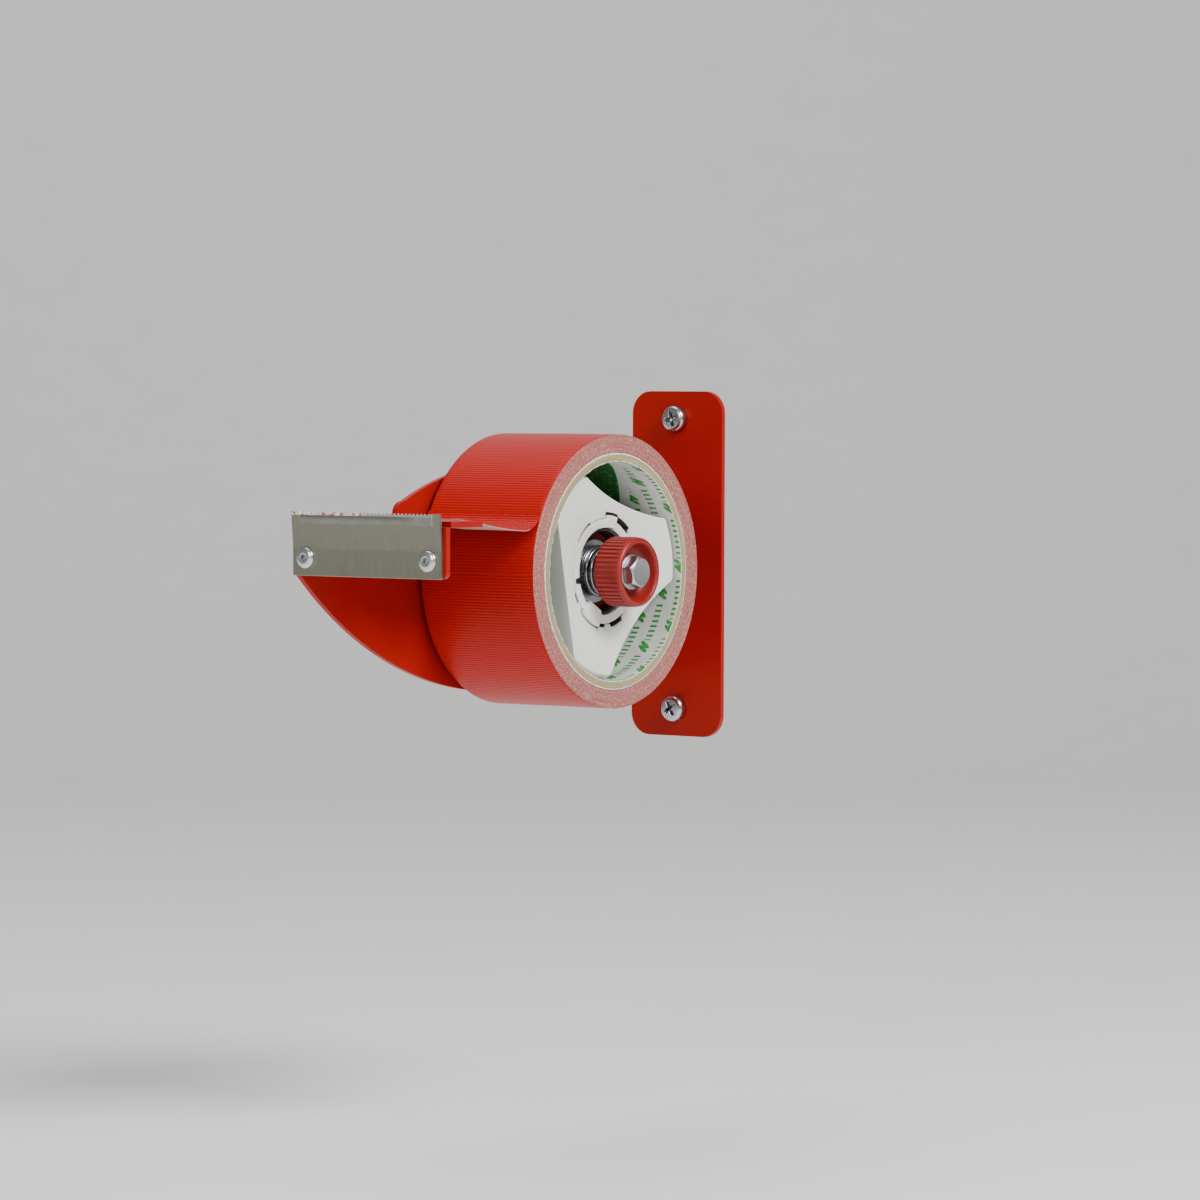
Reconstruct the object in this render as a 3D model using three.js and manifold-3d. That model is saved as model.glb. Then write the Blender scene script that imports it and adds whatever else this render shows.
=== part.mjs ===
// Wall-mounted tape dispenser: a bent sheet-steel frame carries a toothed blade at its nose and a
// braked hub for one roll of cloth tape. Millimetres, +Z up. The origin is the centre of the flange's
// back face. +X runs to the right along the wall, and the frame reaches out from the wall along -Y.
import * as THREE from "three";
import { mergeVertices } from "three/addons/utils/BufferGeometryUtils.js";
import Module from "manifold-3d";

const wasm = await Module();
wasm.setup();

// Sheet-metal frame
const sheet = 2; // thickness of the steel sheet
const bendInner = 0.5; // inside radius of each bend
const flangeWidth = 40;
const flangeHeight = 125;
const flangeCorner = 8;
const screwInset = 10; // flange's end to each screw
const reach = 192.5; // wall to the front of the blade holder
const axleOut = 82.4; // wall to the hub's axis
const bellyDrop = 43.3; // the side plate's lower edge, under the axis
const crownRise = 36.5; // the side plate's upper edge, over the axis
const crownDrop = 12; // how far the upper edge falls from there to the brow
const browInset = 51.5; // front of the holder to the front of the side plate's tall part
const browCorner = 4.5;
const relief = 0.6; // slits that free each bent tab

// Blade holder and tape rest
const holderLow = 0.5; // above the axis
const holderHeight = 17.1;
const holderOverhang = 12; // roll's right side to the holder's end
const holderCorner = 1.8;
const restUnder = 2.6; // tips of the teeth down to the tape rest
const restInset = 5.5; // front of the holder to the front edge of the tape rest
const restDepth = 17;
const restOverhang = 9.5; // roll's right side to the rest's end

// Blade and its rivets
const bladeOverhang = 10.7; // roll's right side to the blade's end
const bladeThick = 1;
const bladeUnder = 0.2; // how far the blade hangs below the holder
const bladeProud = 4.3; // holder's top to the tips of the teeth
const bladeBendRise = 9.2; // blade's lower edge to where it starts to lean out
const bladeLean = 5; // degrees
const bladeEnd = 3.5; // plain length at each end of the teeth
const toothPitch = 1.62;
const toothHeight = 1;
const toothLand = 0.24; // width of each tooth's blunt tip
const bevelHeight = 4;
const bevelEdge = 0.35;
const rivetInset = 5.6; // blade's end to each rivet
const rivetRise = 6; // blade's lower edge to the rivets
const rivetHeadRadius = 3.6;
const rivetHeadRise = 1.5;
const rivetHeadEdge = 0.3; // straight edge of the head under its dome
const rivetDome = 75; // degrees of the dome's arc
const rivetShank = 2;
const rivetTail = 2.9;
const rivetTailLength = 2.6;
const rivetBore = 1.05;

// Wall screws, M5 pan head
const screwRadius = 2.5;
const screwHeadRadius = 4.75;
const screwHeadRise = 3.7;
const screwHeadRound = 1.6;
const screwTurns = [28, 12]; // degrees that each cross is turned, bottom and top
const screwLength = 10;
const crossWidth = 1.1;
const crossSpan = 4.8;
const crossDepth = 1.9;

// Roll of tape on its paper core
const tapeWidth = 49;
const tapeBuild = 6.4; // depth of the wound tape
const coreWall = 3.25;
const coreBore = 38.05;
const rollGap = 2; // side plate to the roll

// Axle, brake and knob
const axleRadius = 5;
const axleCollarRise = 4;
const axleCollar = 1.6;
const axleTailStep = 1; // how much thinner the tail is
const nutWall = 2.5; // tail to the nut's flats
const nutThick = 4;
const nutTurn = 10; // degrees
const nutWasherRim = 4;
const nutWasherThick = 1.6;
const tailProud = 1.2;
const discThick = 1.2;
const brakeRim = 2.1; // how far the brake washer stands out beyond the spring
const brakeThick = 1.5;
const springWire = 1.5;
const springTurns = 4.5;
const springSteps = 20; // straight pieces in each turn
const closedGap = 1.04; // pitch of the closed turns, in wires
const springRoom = 0.65; // knob's sleeve to the spring
const seatThick = 0.8;
const knobWall = 2.85;
const knobLength = 11.3;
const knobProud = 10; // roll's right side to the knob's rim
const knobRecess = 5.1;
const knobRecessTaper = 1.2; // how much the recess narrows to its floor
const knobRimWidth = 2.65;
const knobRim = 1.2; // rounding of the rim
const knobPocket = 3.2;
const knobSleeve = 3.2; // how far the threaded sleeve stands behind the knob
const knobSleeveWall = 1.7;
const knobRibs = 44;
const knobRibDepth = 0.45;
const ribFlank = 0.12; // each flank of a rib, as a share of the ribs' pitch
const ribLand = 0.4; // its flat top, as a share of the pitch
const boltRadius = 3;
const boltFlatRise = 2; // shank to the head's flats
const boltHead = 4;
const boltTurn = 17; // degrees from -Y towards +Z, to one corner of the head
const boltLength = 18;
const boltWasherRim = 3.2;
const boltWasherThick = 1.5;

// Hub
const arms = 3;
const armSpan = 35; // degrees that an arm's end covers
const armTurn = 48.3; // degrees from -Y towards +Z, to the first arm
const scoopDepth = 2.34; // how far the hub's sides curve in between the arms
const hubInset = 2.2; // roll's right side to the arm ends
const leadIn = 6; // length of the tapered lead-in
const leadInDrop = 1.65;
const leadInRound = 0.9; // rounding between the lead-in and the front face
const dish = 2.7; // depth of the dished front face
const hubWall = 1.8;
const hubFloor = 2;
const hubLip = 1.3; // thickness of the stop behind the roll
const hubLipRise = 3.95;
const ringWall = 3.15;
const ringDepth = 26;
const ringLugRise = 1.1;
const ringLugReach = 1.9;
const ringLugSpan = 34; // degrees
const lugPlay = 8; // degrees that the hub's recess is longer than the lug
const ringLugTurn = [112, 300]; // degrees from -Y towards +Z, one for each lug
const ringNotchTurn = 349;
const ringNotchSpan = 9;
const ringNotchReach = 2.2;
const ringNotchDepth = 5;
const brakeRoom = 3; // brake washer to the bush's bore
const bushWall = 0.95;
const bushInset = 1.4; // ring's front to the bush's front
const bushBackInset = 1; // boss's back end to the back of the bush's wall
const webThick = 2.4;
const webDepth = 7.6; // ring's front to the web
const windows = 4;
const windowSpan = 58; // degrees
const windowRim = 0.8;
const bossWall = 2.85;

// Free end of the tape
const leadThick = 0.3;
const leadTurn = 154; // degrees from +Y towards +Z, where the tape leaves the roll
const peelRadius = 10;

// Fits
const seat = 0.1; // gap between faces that rest on each other
const run = 0.15; // radial gap of a running fit
const hole = 0.3; // radial gap round a fastener
const edgeBreak = 0.8; // chamfer on turned and headed ends
const over = 1; // how far a cutter stands out of what it cuts

const rad = THREE.MathUtils.degToRad;
const bendOuter = bendInner + sheet;
const plateOutside = -flangeWidth / 2;
const plateInside = plateOutside + sheet;
const rollLeft = plateInside + rollGap;
const rollRight = rollLeft + tapeWidth;
const hubFront = rollRight - hubInset;
const ringFront = hubFront - dish;
const holderFront = -reach;
const holderHigh = holderLow + holderHeight;
const holderEnd = rollRight + holderOverhang;
const bladeLow = holderLow - bladeUnder;
const bladeHigh = holderHigh + bladeProud;
const bladeBend = bladeLow + bladeBendRise;
const bladeRight = rollRight + bladeOverhang;
const bladeLength = bladeRight - plateOutside;
const rivetHeight = bladeLow + rivetRise;
const rivetPlaces = [plateOutside + rivetInset, bladeRight - rivetInset];
const restTop = bladeHigh - restUnder;
const restEnd = rollRight + restOverhang;
const restFront = holderFront + restInset;
const restBack = restFront + restDepth;
const screwSpacing = flangeHeight - 2 * screwInset;
const coreRadius = coreBore + coreWall;
const tapeRadius = coreRadius + tapeBuild;
const sleeveBore = axleRadius + run;
const sleeveRadius = sleeveBore + knobSleeveWall;
const springRadius = sleeveRadius + springRoom + springWire;
const pocketRadius = springRadius + hole;
const knobRadius = pocketRadius + knobWall;
const knobFront = rollRight + knobProud;
const knobRecessRadius = knobRadius - knobRimWidth;
const axleTailRadius = axleRadius - axleTailStep;
const brakeRadius = springRadius + brakeRim;
const bushBore = brakeRadius + brakeRoom;
const bushRadius = bushBore + bushWall;
const ringBore = bushRadius + seat;
const ringRadius = ringBore + ringWall;
const armRadius = coreBore - leadInDrop;
const bladeBack = holderFront - seat;
const bladeFront = bladeBack - bladeThick;

// A closed geometry as a solid, with its shared vertices merged and its collapsed faces dropped.
function solid(geometry) {
  const bare = new THREE.BufferGeometry();
  bare.setAttribute("position", geometry.getAttribute("position"));
  bare.setIndex(geometry.getIndex());
  const merged = mergeVertices(bare, 1e-4);
  const corners = merged.getIndex().array;
  const kept = [];
  for (let i = 0; i < corners.length; i += 3) {
    const [a, b, c] = [corners[i], corners[i + 1], corners[i + 2]];
    if (a !== b && b !== c && c !== a) kept.push(a, b, c);
  }
  const mesh = new wasm.Mesh({
    numProp: 3,
    vertProperties: new Float32Array(merged.getAttribute("position").array),
    triVerts: new Uint32Array(kept),
  });
  return new wasm.Manifold(mesh);
}

// A solid as a geometry with flat-shaded faces.
function geometryOf(body) {
  const mesh = body.getMesh();
  const geometry = new THREE.BufferGeometry();
  geometry.setAttribute("position", new THREE.BufferAttribute(mesh.vertProperties, 3));
  geometry.setIndex(new THREE.BufferAttribute(mesh.triVerts, 1));
  const faceted = geometry.toNonIndexed();
  faceted.computeVertexNormals();
  return faceted;
}

const join = (first, ...rest) => rest.reduce((body, other) => body.add(other), first);
const cut = (first, ...rest) => rest.reduce((body, other) => body.subtract(other), first);

// Outline points as a shape, turned anticlockwise.
function shapeOf(points) {
  const ordered = THREE.ShapeUtils.area(points) < 0 ? [...points].reverse() : points;
  return new THREE.Shape(ordered);
}

const point = (a, b) => new THREE.Vector2(a, b);

// Points of an arc round (a, b), with both ends, between two angles in degrees.
function arc(a, b, radius, from, to, steps = 8) {
  const points = [];
  for (let i = 0; i <= steps; i++) {
    const turn = rad(from + ((to - from) * i) / steps);
    points.push(point(a + radius * Math.cos(turn), b + radius * Math.sin(turn)));
  }
  return points;
}

// An outline with a thickness, standing on the plane of its own two axes.
function slab(points, thick) {
  return new THREE.ExtrudeGeometry(shapeOf(points), { depth: thick, bevelEnabled: false });
}

// An outline in (Y, Z) pulled along X, one in (X, Z) pulled along Y, and one in (X, Y) pulled along Z.
function pullX(points, low, high) {
  const turn = new THREE.Matrix4().set(0, 0, 1, low, 1, 0, 0, 0, 0, 1, 0, 0, 0, 0, 0, 1);
  return solid(slab(points, high - low).applyMatrix4(turn));
}

function pullY(points, low, high) {
  const turn = new THREE.Matrix4().set(1, 0, 0, 0, 0, 0, -1, high, 0, 1, 0, 0, 0, 0, 0, 1);
  return solid(slab(points, high - low).applyMatrix4(turn));
}

function pullZ(points, low, high) {
  return solid(slab(points, high - low).translate(0, 0, low));
}

const rectangle = (a0, a1, b0, b1) => [point(a0, b0), point(a1, b0), point(a1, b1), point(a0, b1)];

// A rectangle with four rounded corners.
function roundedRectangle(a0, a1, b0, b1, corner) {
  return [
    ...arc(a1 - corner, b1 - corner, corner, 0, 90),
    ...arc(a0 + corner, b1 - corner, corner, 90, 180),
    ...arc(a0 + corner, b0 + corner, corner, 180, 270),
    ...arc(a1 - corner, b0 + corner, corner, 270, 360),
  ];
}

// A profile of (radius, place along the axis) points turned round the Y axis, or round the X axis.
// The profile starts and ends on the axis, or closes on its first point.
function turnY(profile, segments = 40) {
  const onAxis = profile[0].x === 0;
  const loop = onAxis ? profile : [...profile, profile[0]];
  const rising = THREE.ShapeUtils.area(profile) > 0;
  const ordered = rising ? loop : [...loop].reverse();
  return solid(new THREE.LatheGeometry(ordered, segments));
}

function turnX(profile, segments = 40) {
  return turnY(profile, segments).rotate([0, 0, -90]);
}

// A tube of one bore along X.
function tube(radius, bore, low, high, segments = 40) {
  const profile = [point(bore, low), point(radius, low), point(radius, high), point(bore, high)];
  return turnX(profile, segments);
}

const rodProfile = (radius, low, high) => [
  point(0, low),
  point(radius, low),
  point(radius, high),
  point(0, high),
];

const rod = (radius, low, high, segments = 40) => turnX(rodProfile(radius, low, high), segments);

// A point at a radius and an angle from -Y towards +Z, in the (Y, Z) plane about the hub's axis.
function polar(radius, degrees) {
  return point(-radius * Math.cos(rad(degrees)), radius * Math.sin(rad(degrees)));
}

// A slice of a ring, pulled along X.
function ringSlice(inner, outer, middle, span, low, high, steps = 8) {
  const near = [];
  const far = [];
  for (let i = 0; i <= steps; i++) {
    const angle = middle - span / 2 + (span * i) / steps;
    near.push(polar(inner, angle));
    far.unshift(polar(outer, angle));
  }
  return pullX([...near, ...far], low, high);
}

// A hexagon across flats, with one corner at an angle, pulled along X.
function hexagon(flats, low, high, corner) {
  const radius = flats / 2 / Math.cos(rad(30));
  const points = [];
  for (let i = 0; i < 6; i++) points.push(polar(radius, corner + 60 * i));
  return pullX(points, low, high);
}

// An arc in (Y, Z) that starts level at the axis of the hub and reaches a point ahead of it and above it.
function flatArc(level, ahead, above, steps) {
  const radius = (ahead * ahead + above * above) / (2 * Math.abs(above));
  const side = Math.sign(above);
  const points = [];
  for (let i = 0; i <= steps; i++) {
    const turn = (Math.asin(ahead / radius) * i) / steps;
    points.push(point(-axleOut - radius * Math.sin(turn), level + side * radius * (1 - Math.cos(turn))));
  }
  return points;
}

// The side plate's outline in (Y, Z). Two arcs rise and fall from the level stretch at the wall: the
// belly's arc meets the nose, and the crown's arc ends at the brow's rounded corner.
function sidePlateOutline() {
  const holderEdge = holderFront + bendOuter;
  const noseFront = holderEdge - sheet;
  const noseLow = holderLow - relief / 2;
  const bellyRun = -axleOut - noseFront;
  const belly = flatArc(-bellyDrop, bellyRun, noseLow + bellyDrop, 24);
  const browFront = holderFront + browInset;
  const crownRun = -axleOut - browFront - browCorner;
  const crown = flatArc(crownRise, crownRun, -crownDrop, 16).reverse();
  const browTop = crown[0].y - browCorner;
  return [
    point(-bendOuter, -bellyDrop),
    ...belly,
    point(holderEdge, noseLow),
    point(holderEdge, holderHigh),
    point(restFront - relief, holderHigh),
    point(restFront - relief, restTop - bendOuter),
    point(restBack + relief, restTop - bendOuter),
    ...arc(browFront + browCorner, browTop, browCorner, 180, 100, 6),
    ...crown,
    point(-bendOuter, crownRise),
  ];
}

// A bend of a quarter turn as an outline, round the centre (a, b), with short legs into both flats.
function bendOutline(a, b, from) {
  const leg = sheet / 2;
  const outer = arc(a, b, bendOuter, from, from + 90);
  const inner = arc(a, b, bendInner, from + 90, from);
  const along = (angle) => [Math.cos(rad(angle)) * leg, Math.sin(rad(angle)) * leg];
  const [startA, startB] = along(from - 90);
  const [endA, endB] = along(from + 180);
  const shift = (p, da, db) => point(p.x + da, p.y + db);
  return [
    shift(outer[0], startA, startB),
    ...outer,
    shift(outer[outer.length - 1], endA, endB),
    shift(inner[0], endA, endB),
    ...inner,
    shift(inner[inner.length - 1], startA, startB),
  ];
}

// A rod along Y at a place in (X, Z).
function rodY(radius, low, high, x, z) {
  return turnY(rodProfile(radius, low, high), 32).translate([x, 0, z]);
}

const rivetHoles = () =>
  rivetPlaces.map((x) =>
    rodY(rivetShank + hole, bladeFront - over, holderFront + sheet + over, x, rivetHeight),
  );

function framePlate() {
  const halfHeight = flangeHeight / 2;
  const fullFlange = pullY(
    roundedRectangle(plateOutside, -plateOutside, -halfHeight, halfHeight, flangeCorner),
    -sheet,
    0,
  );
  const bendRoom = pullY(
    rectangle(plateOutside - over, plateOutside + bendOuter, -bellyDrop - relief, crownRise + relief),
    -sheet - over,
    over,
  );
  const flange = cut(fullFlange, bendRoom);
  const wallBend = pullZ(bendOutline(plateOutside + bendOuter, -bendOuter, 90), -bellyDrop, crownRise);
  const sidePlate = pullX(sidePlateOutline(), plateOutside, plateInside);
  const holder = pullY(
    [
      point(plateOutside + bendOuter, holderLow),
      ...arc(holderEnd - holderCorner, holderLow + holderCorner, holderCorner, 270, 360, 5),
      point(holderEnd, holderHigh),
      point(plateOutside + bendOuter, holderHigh),
    ],
    holderFront,
    holderFront + sheet,
  );
  const holderBend = pullZ(
    bendOutline(plateOutside + bendOuter, holderFront + bendOuter, 180),
    holderLow,
    holderHigh,
  );
  const rest = pullZ(
    [
      point(plateOutside + bendOuter, restFront),
      point(restEnd, restFront),
      point(restEnd, restBack),
      point(plateOutside + bendOuter, restBack),
    ],
    restTop - sheet,
    restTop,
  );
  const restBend = pullY(
    bendOutline(plateOutside + bendOuter, restTop - bendOuter, 90),
    restFront,
    restBack,
  );
  const axleHole = rod(axleTailRadius + hole, plateOutside - over, plateInside + over, 32);
  const screwHoles = [-1, 1].map((side) =>
    rodY(screwRadius + hole, -sheet - over, over, 0, (side * screwSpacing) / 2),
  );
  const bent = join(flange, wallBend, sidePlate, holder, holderBend, rest, restBend);
  return cut(bent, axleHole.translate([0, -axleOut, 0]), ...screwHoles, ...rivetHoles());
}

// The blade: its section in (Y, Z) is upright at the rivets and leans out above them. The teeth are
// notches along its top, and a bevel thins the metal behind them.
function blade() {
  const slope = Math.tan(rad(bladeLean));
  const outAt = (z) => -Math.max(0, z - bladeBend) * slope;
  const section = [
    point(bladeFront, bladeLow),
    point(bladeBack, bladeLow),
    point(bladeBack, bladeBend),
    point(bladeBack + outAt(bladeHigh), bladeHigh),
    point(bladeFront + outAt(bladeHigh), bladeHigh),
    point(bladeFront, bladeBend),
  ];
  const plain = pullX(section, plateOutside, bladeRight);
  const bevelLow = bladeHigh - bevelHeight;
  const beyond = bladeFront + outAt(bladeHigh) - over;
  const bevel = pullX(
    [
      point(bladeFront + outAt(bevelLow), bevelLow),
      point(bladeBack + outAt(bladeHigh) - bevelEdge, bladeHigh),
      point(bladeBack + outAt(bladeHigh + over) - bevelEdge, bladeHigh + over),
      point(beyond, bladeHigh + over),
      point(beyond, bevelLow),
    ],
    plateOutside + bladeEnd,
    bladeRight - bladeEnd,
  );
  const toothed = bladeLength - 2 * bladeEnd;
  const teeth = Math.floor(toothed / toothPitch);
  const first = plateOutside + (bladeLength - teeth * toothPitch) / 2;
  const last = first + teeth * toothPitch;
  const comb = [];
  for (let i = 0; i < teeth; i++) {
    const root = first + (i + 0.5) * toothPitch;
    comb.push(point(root - (toothPitch - toothLand) / 2, bladeHigh));
    comb.push(point(root, bladeHigh - toothHeight));
    comb.push(point(root + (toothPitch - toothLand) / 2, bladeHigh));
  }
  comb.push(point(last, bladeHigh), point(last, bladeHigh + over), point(first, bladeHigh + over));
  const notches = pullY(comb, beyond, bladeBack);
  return cut(plain, bevel, notches, ...rivetHoles());
}

// A blind rivet along Y: a domed head with the mandrel's hole, a shank and a bulged tail.
function rivet(x) {
  const under = bladeFront - seat;
  const domeSteps = 5;
  const dome = [];
  for (let i = 0; i <= domeSteps; i++) {
    const turn = rad((rivetDome * i) / domeSteps);
    const radius = rivetBore + (rivetHeadRadius - rivetBore) * Math.cos(turn);
    const rise = rivetHeadEdge + (rivetHeadRise - rivetHeadEdge) * Math.sin(turn);
    dome.push(point(radius, under - rise));
  }
  const tailStart = holderFront + sheet + seat;
  const profile = [
    point(0, under - seat),
    point(rivetBore, under - seat),
    point(rivetBore, dome[domeSteps].y),
    ...dome.reverse(),
    point(rivetHeadRadius, under),
    point(rivetShank, under),
    point(rivetShank, tailStart),
    point(rivetTail, tailStart + edgeBreak / 2),
    point(rivetTail, tailStart + rivetTailLength - edgeBreak),
    point(rivetShank, tailStart + rivetTailLength),
    point(0, tailStart + rivetTailLength),
  ];
  return turnY(profile, 24).translate([x, 0, rivetHeight]);
}

// A pan-head screw along Y with a cross recess, turned by some degrees.
function wallScrew(z, turn) {
  const under = -sheet - seat;
  const top = under - screwHeadRise;
  const round = screwHeadRound;
  const headArc = arc(screwHeadRadius - round, top + round, round, 270, 360, 5);
  const profile = [
    point(0, top),
    ...headArc,
    point(screwHeadRadius, under),
    point(screwRadius, under),
    point(screwRadius, under + screwLength - edgeBreak),
    point(screwRadius - edgeBreak, under + screwLength),
    point(0, under + screwLength),
  ];
  const bar = rectangle(-crossSpan / 2, crossSpan / 2, -crossWidth / 2, crossWidth / 2);
  const cross = [0, 90].map((angle) =>
    pullY(bar, top - over, top + crossDepth).rotate([0, angle + turn, 0]),
  );
  return cut(turnY(profile, 32), ...cross).translate([0, 0, z]);
}

// The side of the hub between two arms is an arc through the corners of the arm ends, which curves in
// by the scoop's depth. Each scoop is the cylinder that cuts it.
function scoops(grow, low, high) {
  const half = rad((360 / arms - armSpan) / 2);
  const waist = armRadius * Math.cos(half) - scoopDepth;
  const across = armRadius * Math.sin(half);
  const radius = (across * across + scoopDepth * scoopDepth) / (2 * scoopDepth);
  const cutters = [];
  for (let i = 0; i < arms; i++) {
    const angle = armTurn + (360 / arms) * (i + 0.5);
    const centre = polar(waist + radius, angle);
    const cylinder = rod(radius + grow, low, high, 160);
    cutters.push(cylinder.rotate([-angle, 0, 0]).translate([0, centre.x, centre.y]));
  }
  return cutters;
}

// The hub: three hollow arms open at the back, a dished front face with a lead-in for the core, a
// stop lip behind the roll, and a sleeve that holds the ring.
function hubBody() {
  const back = rollLeft - seat;
  const full = coreBore - run;
  const lipBack = back - hubLip;
  const ringSeat = ringRadius + run;
  const outside = cut(
    turnX(
      [
        point(0, back - seat),
        point(full, back - seat),
        point(full, hubFront - leadIn),
        point(armRadius + leadInRound / 2, hubFront - leadInRound),
        point(armRadius - leadInRound / 2, hubFront),
        point(ringRadius, ringFront),
        point(0, ringFront),
      ],
      80,
    ),
    ...scoops(0, back - over, hubFront + over),
  );
  const inside = cut(
    turnX(
      [
        point(0, lipBack - over),
        point(full - hubWall, lipBack - over),
        point(full - hubWall, hubFront - leadIn - hubFloor),
        point(armRadius - hubWall, hubFront - hubFloor - leadInRound),
        point(ringRadius, ringFront - hubFloor),
        point(0, ringFront - hubFloor),
      ],
      80,
    ),
    ...scoops(hubWall, lipBack - 2 * over, hubFront),
  );
  const lip = rod(coreBore + hubLipRise, lipBack, back, 80);
  const sleeve = rod(ringSeat + hubWall, lipBack, ringFront - hubFloor / 2);
  const bore = rod(ringSeat, lipBack - over, hubFront);
  const lugFar = ringRadius + ringLugReach + hole;
  const lugBack = ringFront - ringLugRise - hole;
  const lugRooms = ringLugTurn.map((turn) =>
    ringSlice(ringRadius - over, lugFar, turn, ringLugSpan + lugPlay, lugBack, hubFront),
  );
  return cut(join(cut(join(outside, lip), inside), sleeve), bore, ...lugRooms);
}

// The bayonet ring that locks the bush into the hub, with two lugs under its front edge.
function hubRing() {
  const ring = tube(ringRadius, ringBore, ringFront - ringDepth, ringFront);
  const lugRoot = ringRadius - over;
  const lugBack = ringFront - ringLugRise;
  const lugs = ringLugTurn.map((turn) =>
    ringSlice(lugRoot, ringRadius + ringLugReach, turn, ringLugSpan, lugBack, ringFront),
  );
  const notchBack = ringFront - ringNotchDepth;
  const notchFar = ringBore + ringNotchReach;
  const notch = ringSlice(ringBore - over, notchFar, ringNotchTurn, ringNotchSpan, notchBack, hubFront, 3);
  return cut(join(ring, ...lugs), notch);
}

const webFront = ringFront - webDepth;

// The bush turns on the axle: an outer sleeve, a web with windows and a long boss.
function hubBush() {
  const front = ringFront - bushInset;
  const back = plateInside + axleCollar + 2 * seat;
  const bossRadius = sleeveBore + bossWall;
  const profile = [
    point(sleeveBore, back),
    point(bossRadius, back),
    point(bossRadius, webFront - webThick),
    point(bushBore, webFront - webThick),
    point(bushBore, back + bushBackInset),
    point(bushRadius, back + bushBackInset),
    point(bushRadius, front),
    point(bushBore, front),
    point(bushBore, webFront),
    point(sleeveBore, webFront),
  ];
  const inner = bossRadius + windowRim;
  const outer = bushBore - windowRim;
  const low = webFront - webThick - over;
  const openings = [];
  for (let i = 0; i < windows; i++) {
    const angle = (360 / windows) * (i + 0.5);
    openings.push(ringSlice(inner, outer, angle, windowSpan, low, webFront + over, 6));
  }
  return cut(turnX(profile), ...openings);
}

const discBack = webFront + seat;
const brakeBack = discBack + discThick + seat;
const springBack = brakeBack + brakeThick + seat;

function frictionDisc() {
  return tube(bushBore - hole, sleeveBore, discBack, discBack + discThick);
}

function brakeWasher() {
  return tube(brakeRadius, sleeveBore, brakeBack, brakeBack + brakeThick);
}

const recessFloor = knobFront - knobRecess;
const knobBack = knobFront - knobLength;
const pocketFloor = knobBack + knobPocket;
const seatBack = pocketFloor - seat - seatThick;
const springFront = seatBack - seat;

function springSeat() {
  return tube(springRadius + seat, sleeveRadius + hole, seatBack, seatBack + seatThick);
}

// The compression spring: round wire on a helix. Its first and last turns lie closed, and the turns
// between them share the rest of the length.
function brakeSpring() {
  const middle = springRadius - springWire / 2;
  const start = springBack + springWire / 2;
  const closedPitch = closedGap * springWire;
  const open = springFront - springBack - springWire - 2 * closedPitch;
  const ramp = (turns, from, to) => Math.min(Math.max((turns - from) / (to - from), 0), 1);
  const steps = Math.round(springTurns * springSteps);
  const points = [];
  for (let i = 0; i <= steps; i++) {
    const turns = i / springSteps;
    const closed = closedPitch * (ramp(turns, 0, 1) + ramp(turns, springTurns - 1, springTurns));
    const at = polar(middle, 360 * turns);
    points.push(new THREE.Vector3(start + closed + open * ramp(turns, 1, springTurns - 1), at.x, at.y));
  }
  const wire = new THREE.Shape(arc(0, 0, springWire / 2, 0, 300, 5));
  const path = { extrudePath: new THREE.CatmullRomCurve3(points), steps, bevelEnabled: false };
  return solid(new THREE.ExtrudeGeometry(wire, path));
}

// The axle: a threaded stud with a collar inside the side plate and a thinner tail through it.
function axle() {
  const collarBack = plateInside + seat;
  const front = recessFloor + seat;
  const tail = plateOutside - nutWasherThick - nutThick - 2 * seat - tailProud;
  const stud = turnX([
    point(0, tail),
    point(axleTailRadius - edgeBreak, tail),
    point(axleTailRadius, tail + edgeBreak),
    point(axleTailRadius, collarBack),
    point(axleRadius + axleCollarRise, collarBack),
    point(axleRadius + axleCollarRise, collarBack + axleCollar),
    point(axleRadius, collarBack + axleCollar),
    point(axleRadius, front),
    point(0, front),
  ]);
  return cut(stud, rod(boltRadius + run, front - boltLength, front + over, 32));
}

function axleWasher() {
  const face = plateOutside - seat;
  return tube(axleTailRadius + nutWasherRim, axleTailRadius + hole, face - nutWasherThick, face);
}

function axleNut() {
  const face = plateOutside - nutWasherThick - 2 * seat;
  const flat = axleTailRadius + nutWall;
  const body = hexagon(2 * flat, face - nutThick, face, nutTurn);
  const cone = turnX([
    point(0, face - nutThick),
    point(flat, face - nutThick),
    point(flat + over, face - nutThick + edgeBreak),
    point(flat + over, face),
    point(0, face),
  ]);
  return cut(body.intersect(cone), rod(axleTailRadius + hole, face - nutThick - over, face + over));
}

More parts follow.
